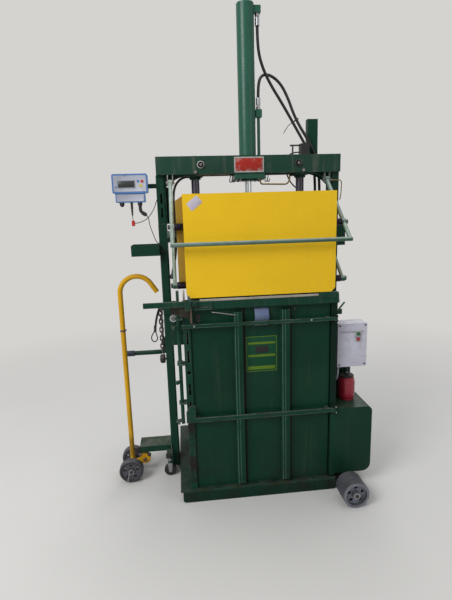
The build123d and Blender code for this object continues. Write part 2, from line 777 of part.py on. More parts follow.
def filter_canister():
    """Spin-on filter standing on its ring on the tank."""
    base = tank_top + 12
    top = base + filter_height
    ring = filter_radius - 6
    outline = Polyline((0, tank_top), (ring, tank_top), (ring, base), (filter_radius - 3, base),
                       (filter_radius, base + 8), (filter_radius, top - 34), (filter_radius - 4, top - 30),
                       (filter_radius - 4, top - 12), (filter_radius - 16, top), (0, top), close=True)
    body = revolve(Plane.XZ * make_face(outline), Axis.Z)
    inner = filter_radius - 7
    body -= rod(inner, (0, 0, base + 4), (0, 0, top - 14))
    return Pos(filter_x, filter_y, 0) * body


def motor():
    """Electric motor on the tank, with cooling fins, fan cowl and terminal box."""
    cowl = tank_top + motor_height - 52
    body = rod(motor_radius - 7, (motor_x, motor_y, tank_top), (motor_x, motor_y, cowl))
    body += rod(motor_radius, (motor_x, motor_y, tank_top), (motor_x, motor_y, tank_top + 14))
    fin = Pos(motor_radius - 5, 0, tank_top + 22 + (cowl - tank_top - 22) / 2) * Box(12, 3, cowl - tank_top - 26)
    for turn in range(0, 360, 20):
        body += Pos(motor_x, motor_y, 0) * Rot(0, 0, turn) * fin
    cap = rod(motor_radius, (motor_x, motor_y, cowl), (motor_x, motor_y, cowl + 52))
    body += fillet(cap.edges().sort_by(Axis.Z)[-1], 12)
    return body + block(terminal_left, motor_x - 36, terminal_front, terminal_front + terminal_depth,
                        tank_top + 80, tank_top + 140)


def control_box():
    """Back of the switch box and the two bars that hold it to the chamber wall."""
    right = case_left + case_width
    back = case_front + case_depth
    top = case_bottom + case_height
    body = block(case_left, right, case_front + lid_wall, back, case_bottom, top)
    body = fillet(body.edges().filter_by(Axis.Y), 8)
    body -= block(case_left + 4, right - 4, case_front + lid_wall - 1, back - 4, case_bottom + 4, top - 4)
    for level in (case_bottom + 40, top - 70):
        body += block(shell, right - 20, back, back + 6, level, level + 30)
    return body


def control_lid():
    """Lid with the raised surround and the two holes of the push buttons."""
    right = case_left + case_width
    body = block(case_left, right, case_front, case_front + lid_wall, case_bottom, case_bottom + case_height)
    body = fillet(body.edges().filter_by(Axis.Y), 8)
    middle = (start_z + stop_z) / 2
    start = Plane((button_x, case_front, middle), x_dir=(1, 0, 0), z_dir=(0, -1, 0))
    body += extrude(start * RectangleRounded(38, 68, 17), 6)
    for level in (start_z, stop_z):
        body -= rod(button_radius + 0.5, (button_x, case_front - 7, level),
                    (button_x, case_front + lid_wall + 1, level))
    return body


def push_button(level):
    """Round push button that stands proud of its surround."""
    face = case_front - 6 - button_travel - 1.5
    head = rod(button_radius, (button_x, face, level), (button_x, case_front + lid_wall + 4, level))
    return head


def conduit():
    """Conduit from the control box down to the motor's terminal box."""
    start = terminal_front - 110
    entry = tank_top + 114
    return flexible("conduit", [
        (conduit_x, start, case_bottom), (conduit_x, start, entry + 48),
        (conduit_x, start + 48, entry), (conduit_x, terminal_front, entry)], conduit_size)


def wheel_axles():
    """Stub axles of the right wheels, each in a bearer on the sill's end."""
    pair = []
    for side in (-1, 1):
        inner = side * (base_depth - sill_depth + 4)
        outer = side * (wheel_inner + wheel_width + 8)
        axle = rod(axle_radius, (wheel_x, inner, wheel_radius + 0.3), (wheel_x, outer, wheel_radius + 0.3))
        y0, y1 = sorted((side * (base_depth - sill_depth + 4), side * (base_depth - 4)))
        bearer = block(sill_right, wheel_x + 18, y0, y1, 24, sill_height + 20)
        pair.append(bearer + axle)
    return pair


def platform():
    """Folded jacking platform on the left post, with the pivot pin and the caster's socket."""
    left = -(post_outer + platform_length)
    right = -post_outer
    y = platform_depth / 2
    body = block(left, right, -y, y, platform_top - platform_wall, platform_top)
    for edge in (-y, y - platform_wall):
        body += block(left, right, edge, edge + platform_wall, platform_top - platform_lip, platform_top)
    ear = block(jack_pin_x - 22, jack_pin_x + 22, -28, -20, jack_pin_z - 18, platform_top - platform_wall)
    pin = rod(7, (jack_pin_x, -53, jack_pin_z), (jack_pin_x, -24, jack_pin_z))
    arm = block(caster_x - 18, caster_x + 18, caster_y - 18, -y, platform_top - platform_lip,
                platform_top - platform_lip + 8)
    socket = rod(12, (caster_x, caster_y, caster_neck), (caster_x, caster_y, platform_top - platform_lip))
    socket += block(caster_x - 18, caster_x + 18, -y, -y + 6, platform_top - platform_lip,
                    platform_top - platform_lip + 8)
    socket -= rod(6 + fit, (caster_x, caster_y, caster_neck - 1), (caster_x, caster_y, caster_neck + 26))
    return body + ear + pin + arm + socket


def tray():
    """Open tool tray folded from sheet, on the left post."""
    body = block(-tray_left, -post_outer, -tray_front, post_face, tray_bottom, tray_bottom + tray_height)
    return body - block(-tray_left + 3, -post_outer - 3, -tray_front + 3, post_face - 3, tray_bottom + 3,
                        tray_bottom + tray_height + 1)


def scale_arm():
    """Arm that carries the scale's display."""
    level = scale_arm_level
    return cross_tube(-700, -post_outer, scale_back, scale_back + arm_bar, level - arm_bar / 2,
                      level + arm_bar / 2, 2.5)


def scale_head():
    """Display case of the scale with the junction case under it."""
    top = scale_bottom + scale_height
    head = block(-scale_left, -scale_right, scale_back - scale_depth, scale_back, scale_bottom, top)
    head = fillet(head.edges().filter_by(Axis.Y), 10)
    screen = Plane((-(scale_left + scale_right) / 2, scale_back - scale_depth, scale_bottom + scale_height / 2),
                   x_dir=(1, 0, 0), z_dir=(0, -1, 0))
    head -= extrude(screen * RectangleRounded(scale_left - scale_right - 16, scale_height - 16, 6), -3)
    lower = block(-scale_left + 14, -scale_right - 18, scale_back - scale_depth + 6, scale_back - 4,
                  scale_bottom - 50, scale_bottom)
    return [head, fillet(lower.edges().filter_by(Axis.Y), 6)]


def ram_rod():
    """Chrome rod with the piston inside the barrel."""
    low = platen_level + platen_height
    piston = mount_bottom + 6 + rest_gap
    body = rod(rod_radius, (0, 0, low), (0, 0, piston))
    bore = barrel_radius - barrel_wall
    return body + rod(bore - fit, (0, 0, piston), (0, 0, piston + piston_height))


def platen():
    """Pressing plate with crossed ribs, a rod boss and a socket for each guide."""
    low = platen_level
    top = low + platen_height
    body = block(-platen_half, platen_half, -platen_half, platen_half, low, low + platen_plate)
    body = chamfer(body.edges().filter_by(Axis.Z), 12)
    for x in (-180, 180):
        body += block(x - 5, x + 5, -platen_half + 20, platen_half - 20, low + platen_plate, top - 22)
    for y in (-60, 60):
        body += block(-platen_half + 8, platen_half - 8, y - 5, y + 5, low + platen_plate, top - 8)
    body += rod(rod_radius + 26, (0, 0, low + platen_plate), (0, 0, top))
    for side in (-1, 1):
        x = side * guide_offset
        body += rod(guide_radius + 4, (x, 0, low + platen_plate), (x, 0, top - 8))
        body += block(x - 8, x + 8, -56, 56, low + platen_plate, top - 22)
        body -= rod(guide_radius, (x, 0, low + platen_plate), (x, 0, top))
    return body


def guide_rods():
    """Guide tubes seated in the platen's sockets."""
    low = platen_level + platen_plate
    pair = []
    for side in (-1, 1):
        x = side * guide_offset
        pair.append(tube(guide_radius, guide_radius - guide_wall, (x, 0, low), (x, 0, beam_top + guide_above)))
    return pair


def lower_door():
    """Door of the lower chamber, a folded pan with two channel ribs welded on."""
    low = base_top + lower_door_gap
    high = rail_bottom - lower_door_gap
    face = -lower_door_face
    back = face + lower_door_depth
    body = block(-lower_door_half, lower_door_half, face, back, low, high)
    body = fillet(body.edges().filter_by(Axis.Z).sort_by(Axis.Y)[0:2], 5)
    body -= block(-lower_door_half + lower_door_sheet, lower_door_half - lower_door_sheet,
                  face + lower_door_sheet, back + 1, low + lower_door_sheet, high - lower_door_sheet)
    outer = Rectangle(rib_width, rib_depth)
    inner = Pos(0, lower_door_sheet) * Rectangle(rib_width - 2 * lower_door_sheet, rib_depth)
    outer = fillet(outer.vertices().sort_by(Axis.Y)[0:2], 4)
    for side in (-1, 1):
        start = Pos(side * rib_x, face - rib_depth / 2, low + 18)
        body += extrude(start * (outer - inner), high - low - 34)
    return body


def door_straps():
    """Two hinge straps across the ribs, with rolled eyes at the right."""
    face = -lower_door_face
    pair = []
    for level, height in straps:
        low = level - height / 2
        high = level + height / 2
        strap = block(-strap_left, hinge_x - 4, strap_front, strap_front + strap_wall, low, high)
        strap += rod(knuckle_radius, (hinge_x, hinge_y, low), (hinge_x, hinge_y, high))
        for x in (-lower_door_half + 10, lower_door_half - 30):
            strap += block(x, x + 20, strap_front + strap_wall, face, low, high)
        if level == lower_strap_level:
            corner = -strap_left + 50
            strap += front_profile([(-strap_left, high), (corner, high), (corner, high + 76),
                                    (-strap_left + 26, high + 76), (-strap_left, high + 40)],
                                   strap_front, strap_wall)
        strap -= rod(hinge_pin + fit, (hinge_x, hinge_y, low - 1), (hinge_x, hinge_y, high + 1))
        pair.append(strap)
    return pair


def loading_door():
    """Yellow loading door: a front sheet with chamfered corners, tapered wings and pivot studs."""
    front = -door_front
    corner = door_corner
    outline = [(-door_half, door_bottom + corner), (-door_half + corner, door_bottom),
               (door_half - corner, door_bottom), (door_half, door_bottom + corner),
               (door_half, door_top), (-door_half, door_top)]
    body = front_profile(outline, front, door_sheet)
    back = front + door_sheet
    wing = [(front + 0.5, door_bottom + corner), (front + wing_bottom, door_bottom + corner),
            (front + wing_bottom + 26, door_bottom + corner + 34),
            (front + wing_top, door_top - 30), (front + wing_top - 12, door_top), (front + 0.5, door_top)]
    right = side_profile(wing, door_half - door_sheet, door_sheet)
    for level in (door_pivot_z, door_low_pivot_z):
        right += rod(17, (door_half, door_pivot_y, level), (arm_x - eye_width / 2 - 1, door_pivot_y, level))
        right += rod(pin_radius, (door_half, door_pivot_y, level), (arm_x + eye_width / 2 + 9, door_pivot_y, level))
        right += rod(12, (arm_x + eye_width / 2 + 1, door_pivot_y, level),
                     (arm_x + eye_width / 2 + 6, door_pivot_y, level))
    body += right + mirrored(right)
    lip = block(-door_half + door_sheet, door_half - door_sheet, back, back + 18, door_top - door_sheet, door_top)
    return body + lip


def eye(x, y, z, bore):
    """A turned eye on a pivot pin."""
    return rod(eye_radius, (x - eye_width / 2, y, z), (x + eye_width / 2, y, z))


def hoop():
    """Upper arms and cross bar of the loading door, welded in one."""
    right = rod(arm_radius, (arm_x, top_pivot_y, top_pivot_z), (arm_x, hoop_y, hoop_z))
    right += eye(arm_x, top_pivot_y, top_pivot_z, pin_radius)
    right += eye(arm_x, door_pivot_y, door_pivot_z, pin_radius)
    body = right + mirrored(right)
    end = arm_x + arm_radius
    body += rod(arm_radius, (-end, hoop_y, hoop_z), (end, hoop_y, hoop_z))
    for y, z in ((top_pivot_y, top_pivot_z), (door_pivot_y, door_pivot_z)):
        for side in (-1, 1):
            body -= rod(pin_radius + fit, (side * (arm_x - 20), y, z), (side * (arm_x + 20), y, z))
    return body


def lower_arm_right():
    """Lower arm of the loading door."""
    ends = ((top_pivot_y, low_pivot_z), (door_pivot_y, door_low_pivot_z))
    body = rod(lower_arm_radius, (arm_x, *ends[0]), (arm_x, *ends[1]))
    for y, z in ends:
        body += eye(arm_x, y, z, pin_radius)
    for y, z in ends:
        body -= rod(pin_radius + fit, (arm_x - 20, y, z), (arm_x + 20, y, z))
    return body


def latch_hook(level):
    """Hook welded to the latch shaft, turned back to stand clear of the strap's end."""
    front = strap_front - 4
    bottom = level - hook_wall / 2
    stem = block(latch_x - 9, latch_x + 9, front - 11, latch_y, bottom, bottom + hook_wall)
    nose = block(latch_x - 9, -strap_left + 14, front - 11, front, bottom, bottom + hook_wall)
    nose = fillet(nose.edges().filter_by(Axis.Z).sort_by(Axis.X)[-1], 6)
    pivot = Pos(latch_x, latch_y, 0)
    return pivot * Rot(0, 0, -latch_rest) * pivot.inverse() * (stem + nose)


def latch_shaft():
    """Latch shaft with a hook for each strap, a collar on the middle lug and a handle."""
    low = lower_strap_level - hook_wall / 2 - 14
    body = rod(latch_radius, (latch_x, latch_y, low), (latch_x, latch_y, latch_lugs[2] + 26))
    for level, height in straps:
        body += latch_hook(level)
    collar = latch_lugs[1] + lug_wall + 0.3
    body += rod(latch_radius + 6, (latch_x, latch_y, collar), (latch_x, latch_y, collar + 14))
    knob = (latch_x - 20, latch_y - 38, latch_knob_z)
    body += rod(6, (latch_x, latch_y, latch_knob_z), knob)
    return body + Pos(*knob) * Sphere(12)


def release_lever():
    """Torque shaft beside the post, its boss and nose in front, its crank and handle tube behind."""
    body = rod(lever_shaft, (lever_x, lever_front, lever_z), (lever_x, lever_rear, lever_z))
    body += rod(lever_boss, (lever_x, lever_front, lever_z), (lever_x, lever_plate - 0.5, lever_z))
    body -= rod(5, (lever_x, lever_front - 1, lever_z), (lever_x, lever_front + 12, lever_z))
    nose = [(lever_x, lever_z + 12), (lever_x + 36, lever_z + 2), (lever_x + 36, lever_z - 10),
            (lever_x, lever_z - 14)]
    nose = front_profile(nose, lever_front + 2, 8)
    body += nose - rod(lever_boss - 4, (lever_x, lever_front, lever_z), (lever_x, lever_plate, lever_z))
    low = lever_z - lever_drop
    crank = [(lever_x + 18, lever_z + 4), (lever_x - 4, lever_z + 20), (lever_x - 20, lever_z),
             (lever_root - 20, low - 4), (lever_root - 8, low - 16), (lever_root + 20, low)]
    body += front_profile(crank, lever_rear - 12, 10)
    tube_y = lever_rear - 7
    return body + rod(11, (lever_root, tube_y, low), (grip_start, tube_y, low))


def lever_grip():
    """Rubber grip pushed on the handle tube."""
    tube_y = lever_rear - 7
    low = lever_z - lever_drop
    grip = rod(16, (grip_start - 4, tube_y, low), (grip_start + 44, tube_y, low))
    return grip - rod(11, (grip_start, tube_y, low), (grip_start + 50, tube_y, low))


def clamp_bar():
    """Flat bar lever that lies in its rest and lifts about the pivot at its right end."""
    front = bar_back - bar_wall
    length = bar_pivot + 14 - bar_left
    start = Plane(((bar_pivot + 14 + bar_left) / 2, front, bar_z), x_dir=(1, 0, 0), z_dir=(0, -1, 0))
    body = extrude(start * RectangleRounded(length, bar_height, 3), -bar_wall)
    return body - rod(7 + fit, (bar_pivot, front - 1, bar_z), (bar_pivot, bar_back + 1, bar_z))


def jack_handle():
    """Jacking dolly: walking stick handle, axle and the arm to its pivot under the platform."""
    low = (handle_x, handle_y, jack_wheel_radius)
    middle = handle_x + handle_bend
    turn = math.radians(90 - handle_turn)
    across = handle_bend * math.cos(turn)
    rise = handle_bend * math.sin(turn)
    bent = (middle + across, handle_y, handle_top + rise)
    tip = (bent[0] + handle_tip * math.sin(turn), handle_y, bent[2] - handle_tip * math.cos(turn))
    path = Line(low, (handle_x, handle_y, handle_top))
    bend = ThreePointArc((handle_x, handle_y, handle_top), (middle, handle_y, handle_top + handle_bend), bent)
    section = Circle(handle_radius) - Circle(handle_radius - handle_wall)
    body = sweep(Plane(low, z_dir=(0, 0, 1)) * section, path=Wire([path, bend, Line(bent, tip)]))
    body += rod(17, (jack_x, jack_front + jack_wheel_width + 2, jack_wheel_radius),
                (jack_x, jack_rear - 2, jack_wheel_radius))
    body += rod(jack_axle, (jack_x, jack_front - 8, jack_wheel_radius),
                (jack_x, jack_rear + jack_wheel_width + 8, jack_wheel_radius))
    climb = jack_pin_z - jack_wheel_radius
    run = jack_pin_x - jack_x
    reach = math.hypot(climb, run)
    slope = Rot(0, -math.degrees(math.atan2(climb, run)), 0)
    arm = Pos(jack_x, handle_y, jack_wheel_radius) * slope * Pos(reach / 2, 0, 0) * Box(reach, 18, 26)
    body += arm + rod(jack_cam, (jack_pin_x, handle_y - 9, jack_pin_z), (jack_pin_x, handle_y + 9, jack_pin_z))
    return body - rod(7 + fit, (jack_pin_x, handle_y - 12, jack_pin_z), (jack_pin_x, handle_y + 12, jack_pin_z))


def wheel(radius, width, bore, holes):
    """Cast wheel on the Y axis with a recessed face and round holes, centred at the origin."""
    rim = radius * 0.80
    hub = radius * 0.30
    dish = width * 0.16
    outline = Polyline((bore, -width / 2 - 2), (hub, -width / 2 - 2), (hub, -width / 2 + dish),
                       (rim, -width / 2 + dish), (rim, -width / 2), (radius - 4, -width / 2),
                       (radius, -width / 2 + 4), (radius, width / 2 - 4), (radius - 4, width / 2),
                       (rim, width / 2), (rim, width / 2 - dish), (hub, width / 2 - dish),
                       (hub, width / 2 + 2), (bore, width / 2 + 2), close=True)
    body = revolve(Plane.XY * make_face(outline), Axis.Y)
    middle = (rim + hub) / 2
    for turn in range(holes):
        angle = math.radians(90 + 360 * turn / holes)
        x = middle * math.cos(angle)
        z = middle * math.sin(angle)
        body -= rod((rim - hub) * 0.27, (x, -width, z), (x, width, z))
    return body


def right_wheel(side):
    """Wide wheel on a stub axle, with a groove round the middle of its tread."""
    body = wheel(wheel_radius, wheel_width, axle_radius + fit, 5)
    groove = tube(wheel_radius + 2, wheel_radius - 3, (0, -3, 0), (0, 3, 0))
    y = side * (wheel_inner + wheel_width / 2)
    return Pos(wheel_x, y, wheel_radius + 0.3) * (body - groove)


def jack_wheel(front):
    """Narrow wheel of the jacking dolly."""
    body = wheel(jack_wheel_radius - rest_gap, jack_wheel_width - 4, jack_axle + fit, 5)
    return Pos(jack_x, front + jack_wheel_width / 2, jack_wheel_radius) * body


def caster_fork():
    """Swivel fork of the caster under the platform."""
    body = block(caster_x - 14, caster_x + 14, caster_y - caster_width / 2 - 6, caster_y + caster_width / 2 + 6,
                 caster_neck - 11, caster_neck - 0.5)
    body += rod(6, (caster_x, caster_y, caster_neck - 2), (caster_x, caster_y, caster_neck + 22))
    for side in (-1, 1):
        inner = side * (caster_width / 2 + 1)
        outer = side * (caster_width / 2 + 6)
        y0, y1 = sorted((caster_y + inner, caster_y + outer))
        body += front_profile([(caster_x - 14, caster_neck - 6), (caster_x + 14, caster_neck - 6),
                               (caster_x + 9, caster_radius - 10), (caster_x - 9, caster_radius - 10)], y0, y1 - y0)
    return body + rod(6, (caster_x, caster_y - 21, caster_radius), (caster_x, caster_y + 21, caster_radius))


def caster_wheel():
    """Wheel of the caster."""
    body = rod(caster_radius - 0.3, (caster_x, caster_y - caster_width / 2, caster_radius),
               (caster_x, caster_y + caster_width / 2, caster_radius))
    body = fillet(body.edges().filter_by(GeomType.CIRCLE), 5)
    return body - rod(6 + fit, (caster_x, caster_y - 20, caster_radius), (caster_x, caster_y + 20, caster_radius))


parts = {
    "base_plate": base_plate(),
    "sills": sills(),
    "foot_beam": foot_beam(),
    "left_post": left_post(),
    "right_post": right_post(),
    "top_beam": top_beam(),
    "beam_bolts": beam_bolts(),
    "cylinder_mount": cylinder_mount(),
    "guide_bushes": guide_bushes(),
    "cylinder_barrel": cylinder_barrel(),
    "lower_port_pipe": lower_port_pipe(),
    "hose_fittings": hose_fittings(),
    "hose_cap_side": hose_cap_side(),
    "hose_rod_side": hose_rod_side(),
    "hose_mast": hose_mast(),
    "limit_switch": limit_switch(),
    "switch_cable": switch_cable(),
    "bleed_pipe": bleed_pipe(),
    "chamber_side_walls": chamber_side_walls(),
    "chamber_rear_wall": chamber_rear_wall(),
    "upper_side_walls": upper_side_walls(),
    "upper_rear_wall": upper_rear_wall(),
    "left_column": left_column(),
    "right_column": right_column(),
    "front_rail": front_rail(),
    "webbing_loop": webbing_loop(),
    "arm_brackets": arm_brackets(),
    "oil_tank": oil_tank(),
    "filter_canister": filter_canister(),
    "motor": motor(),
    "control_box": control_box(),
    "control_lid": control_lid(),
    "start_button": push_button(start_z),
    "stop_button": push_button(stop_z),
    "conduit": conduit(),
    "wheel_axles": wheel_axles(),
    "platform": platform(),
    "tray": tray(),
    "scale_arm": scale_arm(),
    "scale_head": scale_head(),
    "ram_rod": ram_rod(),
    "platen": platen(),
    "guide_rods": guide_rods(),
    "lower_door": lower_door(),
    "door_straps": door_straps(),
    "loading_door": loading_door(),
    "hoop": hoop(),
    "lower_arm_left": mirrored(lower_arm_right()),
    "lower_arm_right": lower_arm_right(),
    "latch_shaft": latch_shaft(),
    "release_lever": release_lever(),
    "lever_grip": lever_grip(),
    "clamp_bar": clamp_bar(),
    "jack_handle": jack_handle(),
    "jack_wheel_front": jack_wheel(jack_front),
    "jack_wheel_rear": jack_wheel(jack_rear),
    "right_wheel_front": right_wheel(-1),
    "right_wheel_rear": right_wheel(1),
    "caster_fork": caster_fork(),
    "caster_wheel": caster_wheel(),
}

os.makedirs("parts", exist_ok=True)
for name, shape in parts.items():
    if isinstance(shape, list):
        shape = Compound(children=shape)
    export_step(shape, f"parts/{name}.step")
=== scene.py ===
"""Wool press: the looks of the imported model, laid out as a Blender add-on and run as a script."""

import math

import bmesh
import bpy
from mathutils import Matrix, Vector


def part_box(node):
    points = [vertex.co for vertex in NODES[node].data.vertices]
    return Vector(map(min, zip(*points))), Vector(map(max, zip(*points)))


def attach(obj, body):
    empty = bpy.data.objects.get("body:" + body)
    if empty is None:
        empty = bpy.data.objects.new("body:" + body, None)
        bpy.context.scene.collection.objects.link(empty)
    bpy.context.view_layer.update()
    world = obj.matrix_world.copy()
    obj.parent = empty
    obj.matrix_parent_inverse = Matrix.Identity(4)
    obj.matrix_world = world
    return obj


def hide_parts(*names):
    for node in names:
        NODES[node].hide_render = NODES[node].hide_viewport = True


bl_info = {
    "name": "Wool Press",
    "version": (1, 0, 0),
    "blender": (4, 5, 0),
    "location": "3D View > Sidebar > Wool Press",
    "description": "Dresses the wool press with its hoses, cords, plates, fittings and paint",
    "category": "Add Mesh",
}

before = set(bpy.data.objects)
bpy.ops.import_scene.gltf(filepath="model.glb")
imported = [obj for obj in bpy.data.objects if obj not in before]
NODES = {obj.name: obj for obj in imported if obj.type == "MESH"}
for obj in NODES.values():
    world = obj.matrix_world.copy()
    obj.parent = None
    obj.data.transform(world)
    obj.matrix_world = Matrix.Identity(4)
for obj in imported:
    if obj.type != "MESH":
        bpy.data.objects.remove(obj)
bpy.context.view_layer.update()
MATERIALS = {}


# Sizes and colours that a user would change


def colour_setting(name, description, default):
    return bpy.props.FloatVectorProperty(
        name=name, description=description, subtype="COLOR", size=3, min=0, max=1, default=default
    )


def length_setting(name, description, default):
    return bpy.props.FloatProperty(
        name=name, description=description, subtype="DISTANCE", unit="LENGTH", min=0.0005, default=default
    )


def share_setting(name, description, default):
    return bpy.props.FloatProperty(
        name=name, description=description, subtype="FACTOR", min=0, max=1, default=default
    )


class WoolPressColours(bpy.types.PropertyGroup):
    """Paints and bare finishes of the press."""

    enamel: colour_setting("Enamel", "Green enamel of the frame", (0.005, 0.044, 0.026))
    door_enamel: colour_setting("Door enamel", "Green enamel of the bale chamber and its door",
                                (0.003, 0.036, 0.019))
    # The beam's green is greyer than the frame's, partly from dust and partly as a painted sheen of the
    # light on its front.
    beam_enamel_with_sheen: colour_setting("Beam enamel", "Greyer green of the sun bleached beam",
                                (0.011, 0.054, 0.036))
    bright_enamel: colour_setting("Bright enamel", "Fresher green of the cylinder and the hoop",
                                  (0.020, 0.100, 0.066))
    yellow: colour_setting("Yellow", "Yellow enamel of the loading door", (0.80, 0.50, 0.016))
    handle_yellow: colour_setting("Handle yellow", "Orange yellow of the jacking handle",
                                  (0.66, 0.36, 0.012))
    # Faded enamel also shows under worn edges so that they read lighter, partly wear and partly a painted
    # edge highlight, and it colours the painted highlight lines of the lower door's ribs.
    faded: colour_setting("Faded enamel", "Lighter green where the enamel has rubbed thin",
                          (0.055, 0.130, 0.095))
    primer: colour_setting("Primer", "Grey primer and steel where the paint has gone", (0.20, 0.21, 0.20))
    rust: colour_setting("Rust", "Dry red brown rust", (0.10, 0.034, 0.014))
    dust: colour_setting("Dust", "Wool dust and dried lanolin", (0.17, 0.165, 0.135))
    grease: colour_setting("Grease", "Black grease low on the press", (0.010, 0.009, 0.008))
    rubber: colour_setting("Hose rubber", "Outer cover of the pressure hoses", (0.012, 0.012, 0.013))
    floor: colour_setting("Floor", "Plain studio floor", (0.62, 0.61, 0.59))
    backdrop: colour_setting("Backdrop", "Plain background behind the press", (0.66, 0.65, 0.63))


class WoolPressSizes(bpy.types.PropertyGroup):
    """Sizes of the pieces that this file adds to the press."""

    hose: length_setting("Hose diameter", "Outside diameter of both pressure hoses", 0.017)
    cable: length_setting("Cable diameter", "Diameter of the limit switch cable", 0.008)
    conduit: length_setting("Conduit diameter", "Diameter of the motor's conduit", 0.013)
    rope: length_setting("Rope diameter", "Diameter of the hanging cord on the left post", 0.007)
    plate: length_setting("Plate thickness", "Thickness of the plates on the beam and the door", 0.002)
    wear: share_setting("Edge wear", "How far the paint has worn from the edges", 0.5)
    dust: share_setting("Dust", "How much dust lies on what faces up", 0.5)


def colours():
    return bpy.context.scene.wool_press_colours


def sizes():
    return bpy.context.scene.wool_press_sizes


# Shader nodes


class Wiring:
    """Adds and joins the nodes of one material, world or node group."""

    def __init__(self, tree):
        self.tree = tree
        self.count = 0

    def feed(self, socket, value):
        if isinstance(value, bpy.types.NodeSocket):
            self.tree.links.new(value, socket)
        elif hasattr(value, "__len__") and len(value) == 3 and socket.type == "RGBA":
            socket.default_value = (*value, 1.0)
        else:
            socket.default_value = value

    def join(self, node, *values, **named):
        """Feeds a node's first inputs in order and others by name."""
        for place, value in enumerate(values):
            self.feed(node.inputs[place], value)
        for key, value in named.items():
            self.feed(node.inputs[key.replace("_", " ")], value)
        return node

    def add(self, kind, settings=None, *values, **named):
        node = self.tree.nodes.new(kind)
        node.location = (220 * (self.count % 7), -280 * (self.count // 7))
        self.count += 1
        for key, value in (settings or {}).items():
            setattr(node, key, value)
        return self.join(node, *values, **named)

    def math(self, operation, first, second=0.5, clamp=False):
        return self.add("ShaderNodeMath", {"operation": operation, "use_clamp": clamp}, first,
                        second).outputs[0]

    def times(self, first, *others):
        for other in others:
            first = self.math("MULTIPLY", first, other)
        return first

    def plus(self, first, second):
        return self.math("ADD", first, second)

    def minus(self, first, second):
        return self.math("SUBTRACT", first, second)

    def most(self, first, second):
        return self.math("MAXIMUM", first, second)

    def size_of(self, value):
        return self.math("ABSOLUTE", value)

    def blend(self, kind, place, share, first, second):
        node = self.add("ShaderNodeMix", {"data_type": kind}, share)
        self.feed(node.inputs[place], first)
        self.feed(node.inputs[place + 1], second)
        return node.outputs

    def mix(self, share, first, second):
        return self.blend("RGBA", 6, share, first, second)[2]

    def between(self, share, first, second):
        return self.blend("FLOAT", 2, share, first, second)[0]

    def span(self, value, low, high, start=0.0, end=1.0):
        return self.add("ShaderNodeMapRange", {"clamp": True}, value, low, high, start, end).outputs[0]

    def place(self, stretch=(1, 1, 1), turn=(0, 0, 0)):
        source = self.add("ShaderNodeTexCoord").outputs["Object"]
        return self.add("ShaderNodeMapping", None, Vector=source, Scale=stretch, Rotation=turn).outputs[0]

    def normal(self):
        return self.add("ShaderNodeNewGeometry").outputs["Normal"]

    def along(self, axis, vector=None):
        """One coordinate of a vector, or else of the shaded point."""
        return self.add("ShaderNodeSeparateXYZ", None, vector or self.place()).outputs[axis]

    def noise(self, scale, detail=4.0, roughness=0.6, where=None, distortion=0.0):
        return self.add("ShaderNodeTexNoise", None, Vector=where or self.place(), Scale=scale,
                        Detail=detail, Roughness=roughness, Distortion=distortion).outputs[0]

    def patches(self, scale, detail, roughness, *limits):
        """Noise spread between two limits, to 0 and 1 or to the two ends given after them."""
        return self.span(self.noise(scale, detail, roughness), *limits)


EFFECTS = {}


def shared(name, gives="Mask", **takes):
    """Keeps the function that wires the shader node group of this name, with its sockets."""
    def keep(build):
        EFFECTS[name] = (build, gives.split(), takes)
        return build
    return keep


def make_group(name):
    build, gives, takes = EFFECTS[name]
    group = bpy.data.node_groups.new(name, "ShaderNodeTree")
    for socket, default in takes.items():
        made = group.interface.new_socket(name=socket, in_out="INPUT", socket_type="NodeSocketFloat")
        made.default_value = default
    for socket in gives:
        group.interface.new_socket(name=socket, in_out="OUTPUT", socket_type="NodeSocketFloat")
    w = Wiring(group)
    source = w.add("NodeGroupInput").outputs
    result = w.add("NodeGroupOutput")
    w.join(result, **dict(zip(gives, build(w, *(source[key] for key in takes)))))
    return group


@shared("Edge wear", Radius=0.004, Amount=0.5, Scale=40.0)
def edge_wear(w, radius, amount, scale):
    """Paint worn from sharp edges, broken up by noise."""
    rounded = w.add("ShaderNodeBevel", {"samples": 4}, Radius=radius).outputs[0]
    dot = w.add("ShaderNodeVectorMath", {"operation": "DOT_PRODUCT"}, rounded, w.normal())
    edge = w.span(dot.outputs["Value"], 0.99, 0.8)
    limit = w.minus(0.78, w.times(amount, 0.55))
    return [w.times(edge, w.patches(scale, 6, 0.7, limit, w.plus(limit, 0.09)))]


@shared("Scratches", Scale=9.0, Amount=0.4)
def scratches(w, scale, amount):
    """Long thin scratches in two directions."""
    lines = []
    for stretch, turn in (((1, 1, 14), (0.5, 0.3, 0.9)), ((16, 1, 1), (0.2, 0.7, 0.3))):
        field = w.noise(scale, 3, 0.5, w.place(stretch, turn))
        lines.append(w.span(w.size_of(w.minus(field, 0.5)), 0.0035, 0.0))
    both = w.times(w.most(*lines), w.patches(4, 3, 0.6, 0.46, 0.62))
    return [w.math("MULTIPLY", both, amount, True)]


@shared("Settled dust", Amount=0.5, Scale=18.0)
def settled_dust(w, amount, scale):
    """Dust that lies on what faces up, thin in places."""
    lying = w.times(w.span(w.along("Z", w.normal()), 0.25, 0.9), w.patches(scale, 6, 0.65, 0.3, 0.66))
    film = w.times(w.patches(3, 5, 0.6, 0.4, 0.75), 0.1)
    return [w.math("MULTIPLY", w.plus(lying, film), amount, True)]


@shared("Grime", Amount=0.4, Scale=6.0, Level=0.4, Depth=0.5)
def grime_patches(w, amount, scale, level, depth):
    """Grime in patches, thicker below a level."""
    low = w.span(w.along("Z"), w.plus(level, depth), level)
    limit = w.minus(0.72, w.times(low, 0.26))
    spread = w.span(w.noise(scale, 8, 0.68, None, 0.6), limit, w.plus(limit, 0.12))
    return [w.math("MULTIPLY", spread, amount, True)]


